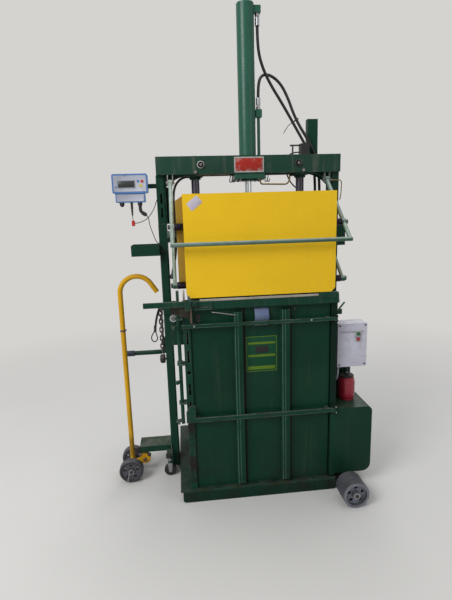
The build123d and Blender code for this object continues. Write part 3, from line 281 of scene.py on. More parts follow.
@shared("Runs", Amount=0.3, Scale=30.0)
def streaks(w, amount, scale):
    """Narrow streaks that run down an upright face."""
    lines = w.span(w.noise(scale, 5, 0.6, w.place((1, 1, 0.05))), 0.54, 0.7)
    return [w.math("MULTIPLY", w.times(lines, w.patches(3, 4, 0.6, 0.42, 0.66)), amount, True)]


@shared("Drawn lines", "Height Mask", Scale=60.0)
def drawn_lines(w, scale):
    """Fine drawn lines of machined or rolled steel."""
    lines = w.noise(scale, 4, 0.7, w.place((8, 8, 0.4)))
    return [lines, w.span(lines, 0.35, 0.65)]


@shared("Weave", "Height Mask", Threads=900.0)
def weave(w, threads):
    """Warp and weft of flat webbing."""
    across = w.math("SINE", w.times(w.along("X"), threads))
    height = w.times(across, w.math("SINE", w.times(w.plus(w.along("Z"), w.along("Y")), threads)))
    return [height, w.span(height, -0.6, 0.8)]


def effect(w, name, output="Mask", **values):
    """Places an effect group in a material with its own values."""
    group = bpy.data.node_groups.get(name) or make_group(name)
    return w.add("ShaderNodeGroup", {"node_tree": group}, **values).outputs[output]


def shader(name, **sockets):
    """A new material with its Principled shader, and the wiring that goes with them."""
    material = bpy.data.materials.new(name)
    material.use_nodes = True
    material.node_tree.nodes.clear()
    w = Wiring(material.node_tree)
    main = w.add("ShaderNodeBsdfPrincipled", None, Coat_Roughness=0.1, **sockets)
    w.add("ShaderNodeOutputMaterial", None, Surface=main.outputs[0])
    MATERIALS[name] = material
    return w, main


def finish_off(w, main, colour, rough, height, strength, distance):
    """Joins colour, roughness and bump to the Principled shader."""
    bump = w.add("ShaderNodeBump", None, Strength=strength, Distance=distance, Height=height)
    w.join(main, Base_Color=colour, Roughness=rough, Normal=bump.outputs[0])


def darker(colour, share):
    return [share * v for v in colour]


def rib_lines(w):
    """Masks for the painted highlight lines on the lower door's two ribs and for the painted shadow at the
    right of each.
    """
    pitch, half, lead = 0.262, 0.0225, 0.05
    moved = w.plus(w.along("X"), pitch / 2 + lead)
    across = w.minus(w.math("FLOORED_MODULO", moved, pitch), lead)
    corner = w.span(w.size_of(w.plus(across, half - 0.002)), 0.0034, 0.0018)
    middle = w.span(w.size_of(w.plus(across, 0.0045)), 0.003, 0.0012, 0, 0.75)
    front = w.span(w.along("Y"), -0.4, -0.402)
    # Painted highlights: pale lines along each rib's left corner and near its middle, broken up by noise.
    rubbed = w.times(w.most(corner, middle), front, w.patches(9, 5, 0.6, 0.3, 0.5, 0.35))
    # Painted shadow: a dark strip on the door face just right of each rib.
    rib_shadow = w.times(w.span(across, half - 0.0014, half - 0.0002), w.span(across, 0.039, 0.036),
                   w.span(w.size_of(w.along("X")), 0.22, 0.21))
    return rubbed, rib_shadow


def enamel(name, colour, rough=0.38, wear=0.4, scratches=0.3, dust=0.4, grime=0.3, level=0.0, runs=0.15,
           coat=0.0, specular=0.13, peel=0.05, under=None, edge=0.004, shade=0.75, rusting=1.0, painted_highlight=None,
           ribs=False):
    """Sprayed enamel on steel, with worn edges, scratches, dust, grime and runs; painted_highlight lays a
    paler painted highlight high up, on the left and on faces that look up, and ribs adds the painted
    highlight lines and painted shadows of the lower door's ribs.
    """
    c = colours()
    w, main = shader(name, Specular_IOR_Level=specular, Coat_Weight=coat)
    tone = w.mix(w.patches(2.6, 5, 0.6, 0.35, 0.68), colour, darker(colour, shade))
    # Painted highlight: a paler tone towards the given heights, towards the left where the key light falls,
    # and on faces that look up.
    if painted_highlight:
        pale, heights, top = painted_highlight
        high = w.times(w.span(w.along("Z"), *heights), w.span(w.along("X"), 0.45, -0.45, 0.25))
        high = w.most(high, w.span(w.along("Z", w.normal()), 0, 0.75, 0, top))
        tone = w.mix(w.times(high, w.patches(30, 5, 0.6, 0.25, 0.55, 0.6)), tone, pale)
    # Painted highlight lines in the faded green, and a painted near-black shadow beside each rib of the
    # lower door.
    if ribs:
        rubbed, rib_shadow = rib_lines(w)
        tone = w.mix(rib_shadow, w.mix(rubbed, tone, c.faded), (0.002, 0.003, 0.003))
    tone = w.mix(effect(w, "Runs", Amount=runs), tone, c.dust)
    tone = w.mix(effect(w, "Grime", Amount=grime, Level=level), tone, c.grease)
    dusty = effect(w, "Settled dust", Amount=dust * 2 * sizes().dust)
    tone = w.mix(dusty, tone, c.dust)
    worn = effect(w, "Edge wear", Amount=wear * 2 * sizes().wear, Radius=edge)
    bare = w.most(worn, effect(w, "Scratches", Amount=scratches))
    rusty = w.mix(w.patches(14, 5, 0.7, 0.47, 0.6, 0, rusting), under or c.primer, c.rust)
    gloss = w.between(dusty, w.patches(22, 5, 0.6, 0.3, 0.7, rough - 0.06, rough + 0.1), 0.85)
    height = w.minus(w.times(w.noise(420, 2, 0.5), peel), w.times(bare, 0.5))
    finish_off(w, main, w.mix(bare, tone, rusty), w.between(bare, gloss, 0.55), height, 0.35, 0.0006)


def steel(name, colour, rough, stain, lines=60.0, spots=0.2):
    """Bare or plated steel with drawn lines, stains and a little rust."""
    w, main = shader(name)
    tone = w.mix(effect(w, "Drawn lines", Scale=lines), darker(colour, 0.82), colour)
    tone = w.mix(w.times(w.patches(7, 5, 0.6, 0.4, 0.7), stain), tone, darker(colour, 0.4))
    rusty = w.times(w.span(w.noise(24, 7, 0.7, None, 0.5), 0.52, 0.7), spots)
    gloss = w.between(rusty, w.patches(35, 5, 0.6, 0.3, 0.7, rough - 0.05, rough + 0.12), 0.8)
    w.join(main, Metallic=w.between(rusty, 1.0, 0.2))
    finish_off(w, main, w.mix(rusty, tone, colours().rust), gloss,
               effect(w, "Drawn lines", "Height", Scale=lines), 0.15, 0.0003)


def moulded(name, colour, rough=0.5, dust=0.25, grain=600.0, specular=0.4, marks=0.2, flank=None):
    """Moulded plastic or rubber with a fine grain, marks and dust; flank is its tone on faces along Y."""
    c = colours()
    w, main = shader(name, Specular_IOR_Level=specular)
    tone = w.mix(w.patches(5, 5, 0.6, 0.36, 0.66), colour, darker(colour, 0.82))
    if flank:
        tone = w.mix(w.span(w.size_of(w.along("Y", w.normal())), 0.55, 0.9), tone, flank)
    tone = w.mix(w.times(w.patches(28, 7, 0.7, 0.53, 0.66), marks), tone, c.grease)
    tone = w.mix(effect(w, "Scratches", Amount=marks, Scale=14.0), tone, c.dust)
    dusty = effect(w, "Settled dust", Amount=dust)
    gloss = w.between(dusty, w.patches(30, 4, 0.6, 0.3, 0.7, rough - 0.06, rough + 0.08), 0.85)
    finish_off(w, main, w.mix(dusty, tone, c.dust), gloss, w.noise(grain, 2, 0.5), 0.2, 0.0004)


def woven(name, colour, threads=900.0, shade=None):
    """Flat webbing or rope with soiled threads; shade is the two heights between which a painted shade gives
    way to the webbing's own colour going up.
    """
    w, main = shader(name, Specular_IOR_Level=0.2, Sheen_Weight=0.25)
    tone = w.mix(effect(w, "Weave", Threads=threads), darker(colour, 0.45), colour)
    # Painted shade: the webbing darkens to a near-black green towards the bottom, where it passes behind the
    # strap.
    if shade:
        tone = w.mix(w.span(w.along("Z"), *shade), (0.006, 0.02, 0.018), tone)
    soiled = w.mix(w.times(w.patches(16, 6, 0.7, 0.42, 0.66), 0.35), tone, colours().dust)
    finish_off(w, main, soiled, 0.85, effect(w, "Weave", "Height", Threads=threads), 0.6, 0.0008)


def make_finishes():
    """All the finishes, each once."""
    c = colours()
    # The chamber and door enamel wears at its edges to the lighter faded green: partly wear, partly a
    # painted highlight along the edges.
    chamber = dict(rough=0.34, dust=0.15, grime=0.35, level=0.1, wear=0.8, runs=0.1, under=c.faded,
                   rusting=0.35)
    enamel("frame green", c.enamel, dust=0.3, grime=0.35, level=0.1, wear=0.6, under=c.faded, rusting=0.6)
    enamel("beam green", c.beam_enamel_with_sheen, rough=0.55, dust=0.7, runs=0.45, wear=0.5, grime=0.25)
    enamel("chamber green", c.door_enamel, **chamber)
    # Door enamel with the painted highlight lines and painted shadows of its ribs.
    enamel("door green", c.door_enamel, ribs=True, **chamber)
    enamel("bright green", c.bright_enamel, rough=0.27, dust=0.04, grime=0.12, wear=0.3, runs=0.06,
           specular=0.24, under=c.faded, peel=0.02)
    # Hoop and lower arms: a pale mint painted highlight on their tops and left sides.
    enamel("arm green", darker(c.bright_enamel, 0.7), rough=0.3, dust=0.3, grime=0.2, wear=0.55, coat=0.25,
           scratches=0.5, painted_highlight=((0.36, 0.45, 0.39), (1.38, 1.72), 0.75))
    # Arm brackets: a pale grey painted highlight high up, on the left and on faces that look up.
    enamel("bracket green", c.enamel, rough=0.5, wear=0.7, dust=0.3,
           painted_highlight=((0.34, 0.33, 0.32), (1.6, 1.8), 0.2))
    enamel("sill green", darker(c.enamel, 0.62), rough=0.45, dust=0.2, grime=0.5, wear=0.7, under=c.faded)
    enamel("soiled steel", (0.02, 0.017, 0.013), rough=0.5, dust=0.15, grime=0.6, wear=0.6, runs=0.3)
    enamel("worn green", c.enamel, rough=0.45, dust=0.35, grime=0.5, level=0.4, wear=0.9, scratches=0.6)
    # Right column: enamel painted much darker, a painted shade for the shadow it stands in between the door
    # and the control box.
    enamel("painted shade green", darker(c.enamel, 0.35), rough=0.5, dust=0.08, grime=0.6, wear=0.3, runs=0.0,
           under=c.faded)
    enamel("rusty green", c.enamel, rough=0.55, dust=0.6, grime=0.6, level=0.9, wear=1.0, scratches=0.7,
           edge=0.006)
    enamel("greasy green", c.enamel, rough=0.42, dust=0.3, grime=1.0, level=0.45, wear=0.7, scratches=0.5)
    enamel("dusty green", c.enamel, rough=0.6, dust=0.55, grime=0.35, wear=0.7)
    enamel("tank green", c.door_enamel, rough=0.34, dust=0.18, level=0.1, runs=0.03, under=c.faded)
    enamel("door yellow", c.yellow, rough=0.4, dust=0.1, grime=0.18, wear=0.35, runs=0.1,
           under=(0.3, 0.22, 0.1), shade=0.92)
    # Painted shade: the loading door's side flange in a darkened brownish yellow, besides its dirt.
    enamel("wing painted shade yellow", (0.34, 0.22, 0.035), rough=0.5, dust=0.3, grime=0.5, wear=0.5, runs=0.3)
    enamel("handle yellow", c.handle_yellow, rough=0.42, dust=0.25, grime=0.5, wear=0.6, scratches=0.7,
           level=0.2)
    enamel("filter red", (0.3, 0.011, 0.028), rough=0.25, dust=0.12, grime=0.15, wear=0.3, specular=0.5)
    enamel("plate red", (0.42, 0.03, 0.02), rough=0.42, dust=0.15, grime=0.2, wear=0.5,
           under=(0.5, 0.5, 0.5))
    enamel("pale plate", (0.52, 0.52, 0.5), rough=0.42, dust=0.2, grime=0.25)
    enamel("label green", (0.006, 0.06, 0.026), rough=0.45, dust=0.1, grime=0.15, wear=0.2, scratches=0.25)
    enamel("label lime", (0.105, 0.185, 0.016), rough=0.45, dust=0.1, grime=0.2, wear=0.0, scratches=0.0)
    for values in (
        ("plated steel", (0.44, 0.45, 0.48), 0.34, 0.35),
        ("chromed rod", (0.62, 0.64, 0.68), 0.12, 0.1, 120.0, 0.0),
        ("bare steel", (0.32, 0.31, 0.3), 0.42, 0.5, 60.0, 0.55),
        ("greasy steel", (0.1, 0.095, 0.09), 0.34, 0.8, 60.0, 0.35),
        ("dark steel", (0.085, 0.08, 0.1), 0.3, 0.7, 60.0, 0.1),
        ("black steel", (0.028, 0.024, 0.034), 0.36, 0.5, 60.0, 0.1),
        ("rusty steel", (0.24, 0.17, 0.15), 0.55, 0.5, 60.0, 1.0),
        ("bare strip", (0.52, 0.47, 0.4), 0.5, 0.4, 60.0, 0.45),
        ("yellow zinc", (0.62, 0.48, 0.22), 0.32, 0.35, 60.0, 0.15),
    ):
        steel(*values)
    for values in (
        ("hose rubber", c.rubber, 0.48, 0.25, 500.0),
        ("tyre rubber", (0.018, 0.018, 0.019), 0.6, 0.4, 500.0),
        ("wheel nylon", (0.048, 0.05, 0.063), 0.5, 0.22, 350.0, 0.4, 0.55, (0.06, 0.06, 0.076)),
        ("roller nylon", (0.062, 0.064, 0.08), 0.5, 0.22, 350.0, 0.4, 0.55, (0.155, 0.16, 0.195)),
        ("rim nylon", (0.175, 0.182, 0.218), 0.45, 0.15, 350.0, 0.4, 0.4),
        ("black plastic", (0.014, 0.014, 0.015), 0.42, 0.3),
        ("dark screen", (0.03, 0.032, 0.034), 0.25, 0.1, 800.0, 0.5),
        ("matt black", (0.007, 0.009, 0.009), 0.55, 0.02, 800.0, 0.4, 0.05),
        ("blank paper", (0.56, 0.52, 0.6), 0.75, 0.1, 900.0, 0.2, 0.25),
        ("pale nylon", (0.5, 0.5, 0.52), 0.45, 0.3, 500.0),
        ("case plastic", (0.53, 0.525, 0.61), 0.42, 0.16, 500.0, 0.4, 0.22),
        ("pill grey", (0.22, 0.24, 0.31), 0.42, 0.1, 500.0),
        ("grip blue", (0.018, 0.024, 0.052), 0.55, 0.12, 700.0),
        ("dusty plastic", (0.3, 0.27, 0.24), 0.7, 0.5, 300.0, 0.4, 0.5),
        ("conduit plastic", (0.34, 0.35, 0.38), 0.5, 0.3),
        ("scale blue", (0.075, 0.19, 0.46), 0.38),
        ("scale face", (0.42, 0.44, 0.52), 0.4, 0.15),
        ("scale grey", (0.2, 0.21, 0.23), 0.4, 0.15),
        ("button green", (0.03, 0.13, 0.055), 0.42, 0.15),
        ("button red", (0.5, 0.02, 0.02), 0.35, 0.1),
        ("dull red", (0.3, 0.045, 0.05), 0.42, 0.15),
        ("button yellow", (0.62, 0.5, 0.06), 0.35, 0.1),
    ):
        moulded(*values)
    # Blue webbing with painted shade low down.
    woven("blue webbing", (0.15, 0.21, 0.39), shade=(1.04, 1.098))
    woven("dark rope", (0.03, 0.028, 0.026), 1400.0)
    woven("twine", (0.3, 0.2, 0.05), 2200.0)


NODE_FINISH = {
    "frame green": "left_post right_post hose_mast scale_arm motor tray front_rail",
    "greasy steel": "wheel_axles",
    "beam green": "top_beam guide_bushes",
    "chamber green": "chamber_side_walls chamber_rear_wall upper_side_walls upper_rear_wall platen",
    "door green": "lower_door",
    "bright green": "cylinder_barrel cylinder_mount lower_port_pipe",
    "arm green": "hoop lower_arm_left lower_arm_right",
    "worn green": "door_straps latch_shaft release_lever clamp_bar",
    "greasy green": "left_column",
    "painted shade green": "right_column",
    "dusty green": "platform",
    "bracket green": "arm_brackets",
    "sill green": "base_plate sills foot_beam",
    "tank green": "oil_tank",
    "door yellow": "loading_door",
    "handle yellow": "jack_handle",
    "filter red": "filter_canister",
    "plated steel": "hose_fittings caster_fork",
    "bare steel": "beam_bolts",
    "dark steel": "guide_rods",
    "chromed rod": "ram_rod",
    "yellow zinc": "bleed_pipe",
    "grip blue": "lever_grip",
    "tyre rubber": "caster_wheel",
    "wheel nylon": "jack_wheel_front jack_wheel_rear",
    "roller nylon": "right_wheel_front right_wheel_rear",
    "black plastic": "limit_switch",
    "case plastic": "control_box control_lid",
    "scale blue": "scale_head",
    "button green": "start_button",
    "dull red": "stop_button",
}

FRONT = (0, -1, 0)


# Modelling helpers


def clear():
    """Object mode with nothing selected."""
    if bpy.context.object and bpy.context.object.mode != "OBJECT":
        done()
    bpy.ops.object.select_all(action="DESELECT")


def done():
    bpy.ops.object.mode_set(mode="OBJECT")


def take(piece):
    """Makes one piece selected and active."""
    clear()
    piece.select_set(True)
    bpy.context.view_layer.objects.active = piece


def settle(name):
    """Names the new piece and puts its place in its mesh."""
    piece = bpy.context.object
    piece.name = piece.data.name = name
    bpy.ops.object.transform_apply(location=True, rotation=True, scale=True)
    return piece


def slab(name, low, high):
    """A block between two corners, ready to be shaped."""
    low, high = Vector(low), Vector(high)
    clear()
    bpy.ops.mesh.primitive_cube_add(size=1, location=(low + high) / 2, scale=high - low)
    return settle(name)


def torus(name, major, minor, around, **turned):
    clear()
    bpy.ops.mesh.primitive_torus_add(major_radius=major, minor_radius=minor, major_segments=around,
                                     minor_segments=8, **turned)
    return settle(name)


def pick(piece, test, kind="faces"):
    """Edit mode with the faces or edges selected for which test(centre, normal or line) holds."""
    take(piece)
    bpy.ops.object.mode_set(mode="EDIT")
    bpy.ops.mesh.select_mode(type="FACE" if kind == "faces" else "EDGE")
    bpy.ops.mesh.select_all(action="DESELECT")
    mesh = bmesh.from_edit_mesh(piece.data)
    if kind == "faces":
        for face in mesh.faces:
            face.select_set(bool(test(face.calc_center_median(), face.normal)))
    else:
        for edge in mesh.edges:
            first, last = (v.co for v in edge.verts)
            edge.select_set(bool(test((first + last) / 2, last - first)))
    bmesh.update_edit_mesh(piece.data)


def slide(piece, test, move, kind="edges"):
    """Moves the chosen edges or faces."""
    pick(piece, test, kind)
    bpy.ops.transform.translate(value=move)
    done()


def facing(way):
    """A test for faces whose normal points along way."""
    way = Vector(way).normalized()
    return lambda centre, normal: normal.dot(way) > 0.9


def inset(piece, width, depth=0.0, way=FRONT):
    pick(piece, facing(way))
    bpy.ops.mesh.inset(thickness=width, depth=depth)
    done()


def fatten(distance):
    """Extrudes what is selected along its normals."""
    bpy.ops.mesh.extrude_region_shrink_fatten(TRANSFORM_OT_shrink_fatten={"value": distance})


def pull(piece, test, distance):
    """Extrudes the chosen faces along their normals."""
    pick(piece, test)
    fatten(distance)
    done()


def soften(piece, width, segments=2, angle=35):
    """Rounds the sharp edges by a modifier that is applied."""
    take(piece)
    bevel = piece.modifiers.new("Rounded edges", "BEVEL")
    bevel.width = width
    bevel.segments = segments
    bevel.limit_method = "ANGLE"
    bevel.angle_limit = math.radians(angle)
    bpy.ops.object.modifier_apply(modifier=bevel.name)
    return piece


def dress(piece, finish, body="frame"):
    """Shading, finish, body and material slot of a finished piece."""
    if piece.type == "MESH":
        take(piece)
        bpy.ops.object.shade_smooth_by_angle(angle=math.radians(35))
        clear()
    piece.data.materials.clear()
    piece.data.materials.append(MATERIALS[finish])
    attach(piece, body)
    return piece


def copy_piece(piece, name, change):
    """A copy with its own mesh, moved or turned by a matrix."""
    take(piece)
    bpy.ops.object.duplicate(linked=False)
    twin = bpy.context.object
    twin.name = twin.data.name = name
    twin.parent = None
    twin.matrix_world = Matrix.Identity(4)
    twin.data.transform(change)
    return twin


def stepped(name, radius, start, end, steps, sides=32):
    """A round or many-sided blank whose outer end is shaped by insets and extrusions (width, rise)."""
    start, end = Vector(start), Vector(end)
    way = end - start
    clear()
    bpy.ops.mesh.primitive_cylinder_add(
        vertices=sides, radius=radius, depth=way.length, location=(start + end) / 2,
        rotation=way.to_track_quat("Z", "Y").to_euler()
    )
    piece = settle(name)
    pick(piece, facing(way))
    for width, rise in steps:
        if width:
            bpy.ops.mesh.inset(thickness=width)
        if rise:
            fatten(rise)
    done()
    return piece


def bolt(name, seat, way, size=0.008):
    """A hexagon head on its washer, with a chamfered top; size is half the head's width."""
    seat, way = Vector(seat), Vector(way).normalized()
    washer = stepped(name, 1.5 * size, seat, seat + 0.2 * size * way, ((0.12 * size, 0.06 * size),), 24)
    soften(washer, 0.05 * size, 1)
    head = stepped(name + "_head", 1.1 * size, seat + 0.2 * size * way, seat + 0.95 * size * way,
                   ((0.16 * size, 0.12 * size),), 6)
    return merge(washer, soften(head, 0.08 * size, 2, 20))


def collar(name, radius, start, end, lip=0.0012, sides=32):
    """A round sleeve between two points with both ends chamfered."""
    piece = stepped(name, radius, start, end, ((lip, 0.5 * lip),), sides)
    inset(piece, lip, way=Vector(start) - Vector(end))
    return soften(piece, 0.4 * lip)


def merge(piece, *others):
    """Joins finished meshes into the first one."""
    clear()
    for other in others:
        other.select_set(True)
    piece.select_set(True)
    bpy.context.view_layer.objects.active = piece
    bpy.ops.object.join()
    return piece


def block(name, low, high, border, depth, rounding, finish, body="frame", corner=None,
          move=(0, 0, 0), segments=2):
    """A block with a border round its sunken or raised front; corner: x and z of an edge that moves."""
    piece = slab(name, low, high)
    if corner:
        slide(piece, lambda centre, line: abs(centre.x - corner[0]) + abs(centre.z - corner[1]) < 1e-5,
              move)
    inset(piece, border, depth)
    return dress(soften(piece, rounding, segments), finish, body)


def plate(name, low, high, border, depth, finish, body="frame", rounding=0.0006):
    """A thin plate on a front face, with a border standing round a sunken or raised field."""
    piece = slab(name, low, high)
    inset(piece, border)
    middle = (Vector(low) + Vector(high)) / 2
    pull(piece, lambda centre, normal: normal.y < -0.9 and abs(centre.x - middle.x) < 1e-4
         and abs(centre.z - middle.z) < 1e-4, depth)
    return dress(soften(piece, rounding), finish, body)


def path(text, base=(0, 0, 0)):
    """Points written as x y z in millimetres with commas between them, from a base in metres."""
    return [tuple(start + float(value) / 1000 for start, value in zip(base, point.split()))
            for point in text.split(",")]


def line_piece(name, points, diameter, resolution, sides):
    """A round cord as one open NURBS spline on its control points."""
    curve = bpy.data.curves.new(name, "CURVE")
    curve.dimensions = "3D"
    curve.resolution_u = resolution
    curve.bevel_depth = diameter / 2
    curve.bevel_resolution = sides
    curve.use_fill_caps = True
    spline = curve.splines.new("NURBS")
    spline.points.add(len(points) - 1)
    for point, place in zip(spline.points, points):
        point.co = (*place, 1.0)
    spline.order_u = 3
    spline.use_endpoint_u = True
    piece = bpy.data.objects.new(name, curve)
    bpy.context.scene.collection.objects.link(piece)
    return piece


def bent_rod(name, text, diameter, sides=12, base=(0, 0, 0)):
    """A bent rod or pipe: a round line made a mesh."""
    take(line_piece(name, path(text, base), diameter, 6, sides // 4))
    bpy.ops.object.convert(target="MESH")
    return bpy.context.object


def cord(name, text, diameter, length, finish, far_end, stiffness, lay="hanging", base=(0, 0, 0),
         grain=(8, 3), slot=None, stands_for=None, start=None, **told):
    """A free cord with its finish, which hides the solid it stands for; its slot and what the frame would be
    told of it (length, far end, stiffness, lay, start and the rest) are not used.
    """
    points = path(text, base)
    piece = dress(line_piece(name, points, diameter, *grain), finish)
    if stands_for:
        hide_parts(stands_for)


def boss(name, radius, spot, height, steps, sides=32):
    """A round piece that stands out towards the front from a spot."""
    return stepped(name, radius, spot, (spot[0], spot[1] - height, spot[2]), steps, sides)


# Pieces


class WOOLPRESS_OT_camera(bpy.types.Operator):
    """Stand the camera where the photograph was taken"""

    bl_idname = "wool_press.camera"
    bl_label = "Camera"

    def execute(self, context):
        camera = bpy.data.cameras.new("Camera")
        camera.lens = 25.79
        camera.sensor_width = 36.0
        camera.clip_end = 60.0
        stand = bpy.data.objects.new("Camera", camera)
        context.scene.collection.objects.link(stand)
        yaw, pitch, roll = -0.1033, -0.1971, 0.03
        turn = Matrix.Rotation(yaw, 3, "Z") @ Matrix.Rotation(pitch, 3, "X") @ Matrix.Rotation(roll, 3, "Y")
        right, ahead, up = turn.col
        axes = Matrix((right, up, -ahead)).transposed().to_4x4()
        stand.matrix_world = Matrix.Translation((-0.4274, -2.6329, 1.6365)) @ axes
        context.scene.camera = stand
        return {"FINISHED"}


class WOOLPRESS_OT_hoses(bpy.types.Operator):
    """Run the two pressure hoses from the cylinder down to the oil tank"""

    bl_idname = "wool_press.hoses"
    bl_label = "Pressure Hoses"

    def execute(self, context):
        for name, node, length, route in (
            ("pressure_hose_cap", "hose_cap_side", 2.25,
             "68 0 2668, 68 0 2592, 80 8 2508, 115 26 2428, 165 50 2357, 220 76 2290, 271 98 2222, "
             "317 106 2150, 360 107 2080, 400 107 2010, 431 106 1935, 445 106 1850, 447 107 1675, "
             "444 105 1470, 447 107 1275, 444 105 1120, 446 100 975, 446 80 880, 449 40 805, 456 -8 745, "
             "466 -56 692, 472 -84 632, 472 -84 574"),
            ("pressure_hose_rod", "hose_rod_side", 2.24,
             "68 0 2290, 68 0 2370, 101 41 2430, 165 87 2438, 229 103 2393, 274 106 2310, 306 107 2226, "
             "346 107 2152, 392 106 2083, 436 106 2003, 465 106 1907, 474 105 1817, 476 107 1645, "
             "473 105 1445, 476 107 1255, 473 104 1084, 474 96 974, 474 76 884, 474 34 814, 474 -18 756, "
             "473 -74 704, 472 -118 642, 472 -118 574"),
        ):
            cord(name, route, sizes().hose, length, "hose rubber", "object", "stiff", grain=(12, 5),
                 stands_for=node, start=Vector(path(route)[0])[:])
        return {"FINISHED"}


class WOOLPRESS_OT_cables(bpy.types.Operator):
    """Run the limit switch cable and the motor's conduit"""

    bl_idname = "wool_press.cables"
    bl_label = "Cable and Conduit"

    def execute(self, context):
        cord("limit_switch_cable",
             "330 68 1996, 286 68 1996, 258 86 1969, 253 102 1925, 260 106 1879, 278 107 1835, "
             "308 107 1798, 346 106 1770, 388 104 1746, 424 100 1708, 438 90 1652, 442 86 1585, "
             "445 84 1500, 442 86 1390, 445 84 1280, 442 86 1170, 445 78 1075, 449 46 990, 457 -16 925, "
             "466 -90 893, 476 -165 880, 476 -240 880",
             sizes().cable, 1.46, "black plastic", "object", "medium", grain=(10, 5), slot="hose_rubber",
             stands_for="switch_cable")
        cord("motor_conduit", "468 -300 740, 468 -300 672, 468 -252 624, 468 -190 624", sizes().conduit,
             0.19, "conduit plastic", "object", "stiff", "loose", grain=(14, 5), stands_for="conduit")
        return {"FINISHED"}


class WOOLPRESS_OT_beam_trim(bpy.types.Operator):
    """Fit the beam's blank plate, bolts, pipe and hooks, the hose tie, the twine and the air hose"""

    bl_idname = "wool_press.beam_trim"
    bl_label = "Beam Plate and Ties"

    def execute(self, context):
        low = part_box("top_beam")[0]
        face, under = low[1], low[2]
        skin = face - sizes().plate
        plate("beam_plate", (-0.092, skin, 1.87), (0.081, face, 1.956), 0.005, -0.0008, "pale plate")
        plate("beam_plate_field", (-0.085, skin - 0.0004, 1.877), (0.074, skin + 0.0006, 1.949), 0.004,
              0.0002, "plate red", rounding=0.0002)
        for number, (x, z) in enumerate(((-0.0885, 1.8735), (0.0775, 1.8735), (-0.0885, 1.9525),
                                         (0.0775, 1.9525))):
            dress(boss("plate_rivet_%d" % number, 0.0028, (x, skin, z), 0.0008, ((0.0009, 0.0004),), 12),
                  "plated steel")
        tie = torus("hose_tie", 0.0255, 0.0016, 40)
        bpy.ops.transform.resize(value=(1, 0.48, 2.4))
        settle("hose_tie")
        lean = Matrix.Rotation(math.radians(-32), 4, "Y")
        tie.data.transform(Matrix.Translation((0.315, 0.1055, 2.186)) @ lean)
        tail = bent_rod("hose_tie_tail", "297 92 2172, 280 86 2166, 256 82 2140, 237 80 2108", 0.004)
        dress(merge(tie, tail), "black plastic")
        z = 1.917
        for number, (x, finish) in enumerate(((-0.285, "pale plate"), (0.285, "greasy steel"))):
            rim = collar("beam_washer_%d" % number, 0.0205, (x, face, z), (x, face - 0.0056, z), 0.001, 40)
            dress(rim, finish)
            disc = collar("beam_washer_face_%d" % number, 0.0165, (x, face - 0.005, z),
                          (x, face - 0.0064, z), 0.0006, 40)
            head = boss("beam_bolt_cap_%d" % number, 0.0138, (x, face - 0.006, z), 0.009,
                        ((0.0012, 0.0008), (0.004, 0), (0.001, -0.003)), 24)
            dress(merge(disc, head), "black steel")
        pipe = "-312 -70 1863, -290 -70 1861, -200 -70 1861.5, -130 -70 1860, -112 -60 1856"
        dress(bent_rod("beam_pipe", pipe, 0.0042), "bare strip")
        dress(collar("twine_peg", 0.0045, (0.492, -0.056, 1.818), (0.492, -0.07, 1.818), 0.0008, 16),
              "bare steel")
        cord("twine_loop",
             "492 -66.5 1818, 515 -66.5 1817.8, 553.5 -66.5 1817, 554 -66 1780, 552.5 -65 1742, "
             "548.5 -65 1720, 546 -65 1702",
             0.006, 0.17, "twine", "bare", "limp")
        cord("air_hose",
             "-325 -20 -5, -356 -20 -6, -395 -20 -15, -428 -20 -43, -445 -20 -85, -449 -20 -140, "
             "-448 -20 -230, -447 -20 -330, -448 -20 -420, -458 -20 -490, -474 -20 -550, -486 -20 -605",
             0.014, 0.68, "hose rubber", "object", "medium", base=(0, 0, under), grain=(10, 5))
        clip = collar("air_hose_clip", 0.0095, (-0.483, -0.02, under - 0.58), (-0.487, -0.02, under - 0.6),
                      0.001, 24)
        foot = slab("air_hose_clip_foot", (-0.496, -0.028, under - 0.599), (-0.488, -0.012, under - 0.581))
        dress(merge(clip, soften(foot, 0.001)), "bare steel")
        for number, x in enumerate((-0.112, -0.0965, 0.098, 0.112)):
            dress(bent_rod("beam_hook_%d" % number,
                           "0 -50 1, 0 -50 -20, -5 -50 -32, -6 -50 -42, 2 -50 -48, 9 -50 -40, 8 -50 -30",
                           0.0055, base=(x, 0, under)), "dark steel")
        return {"FINISHED"}


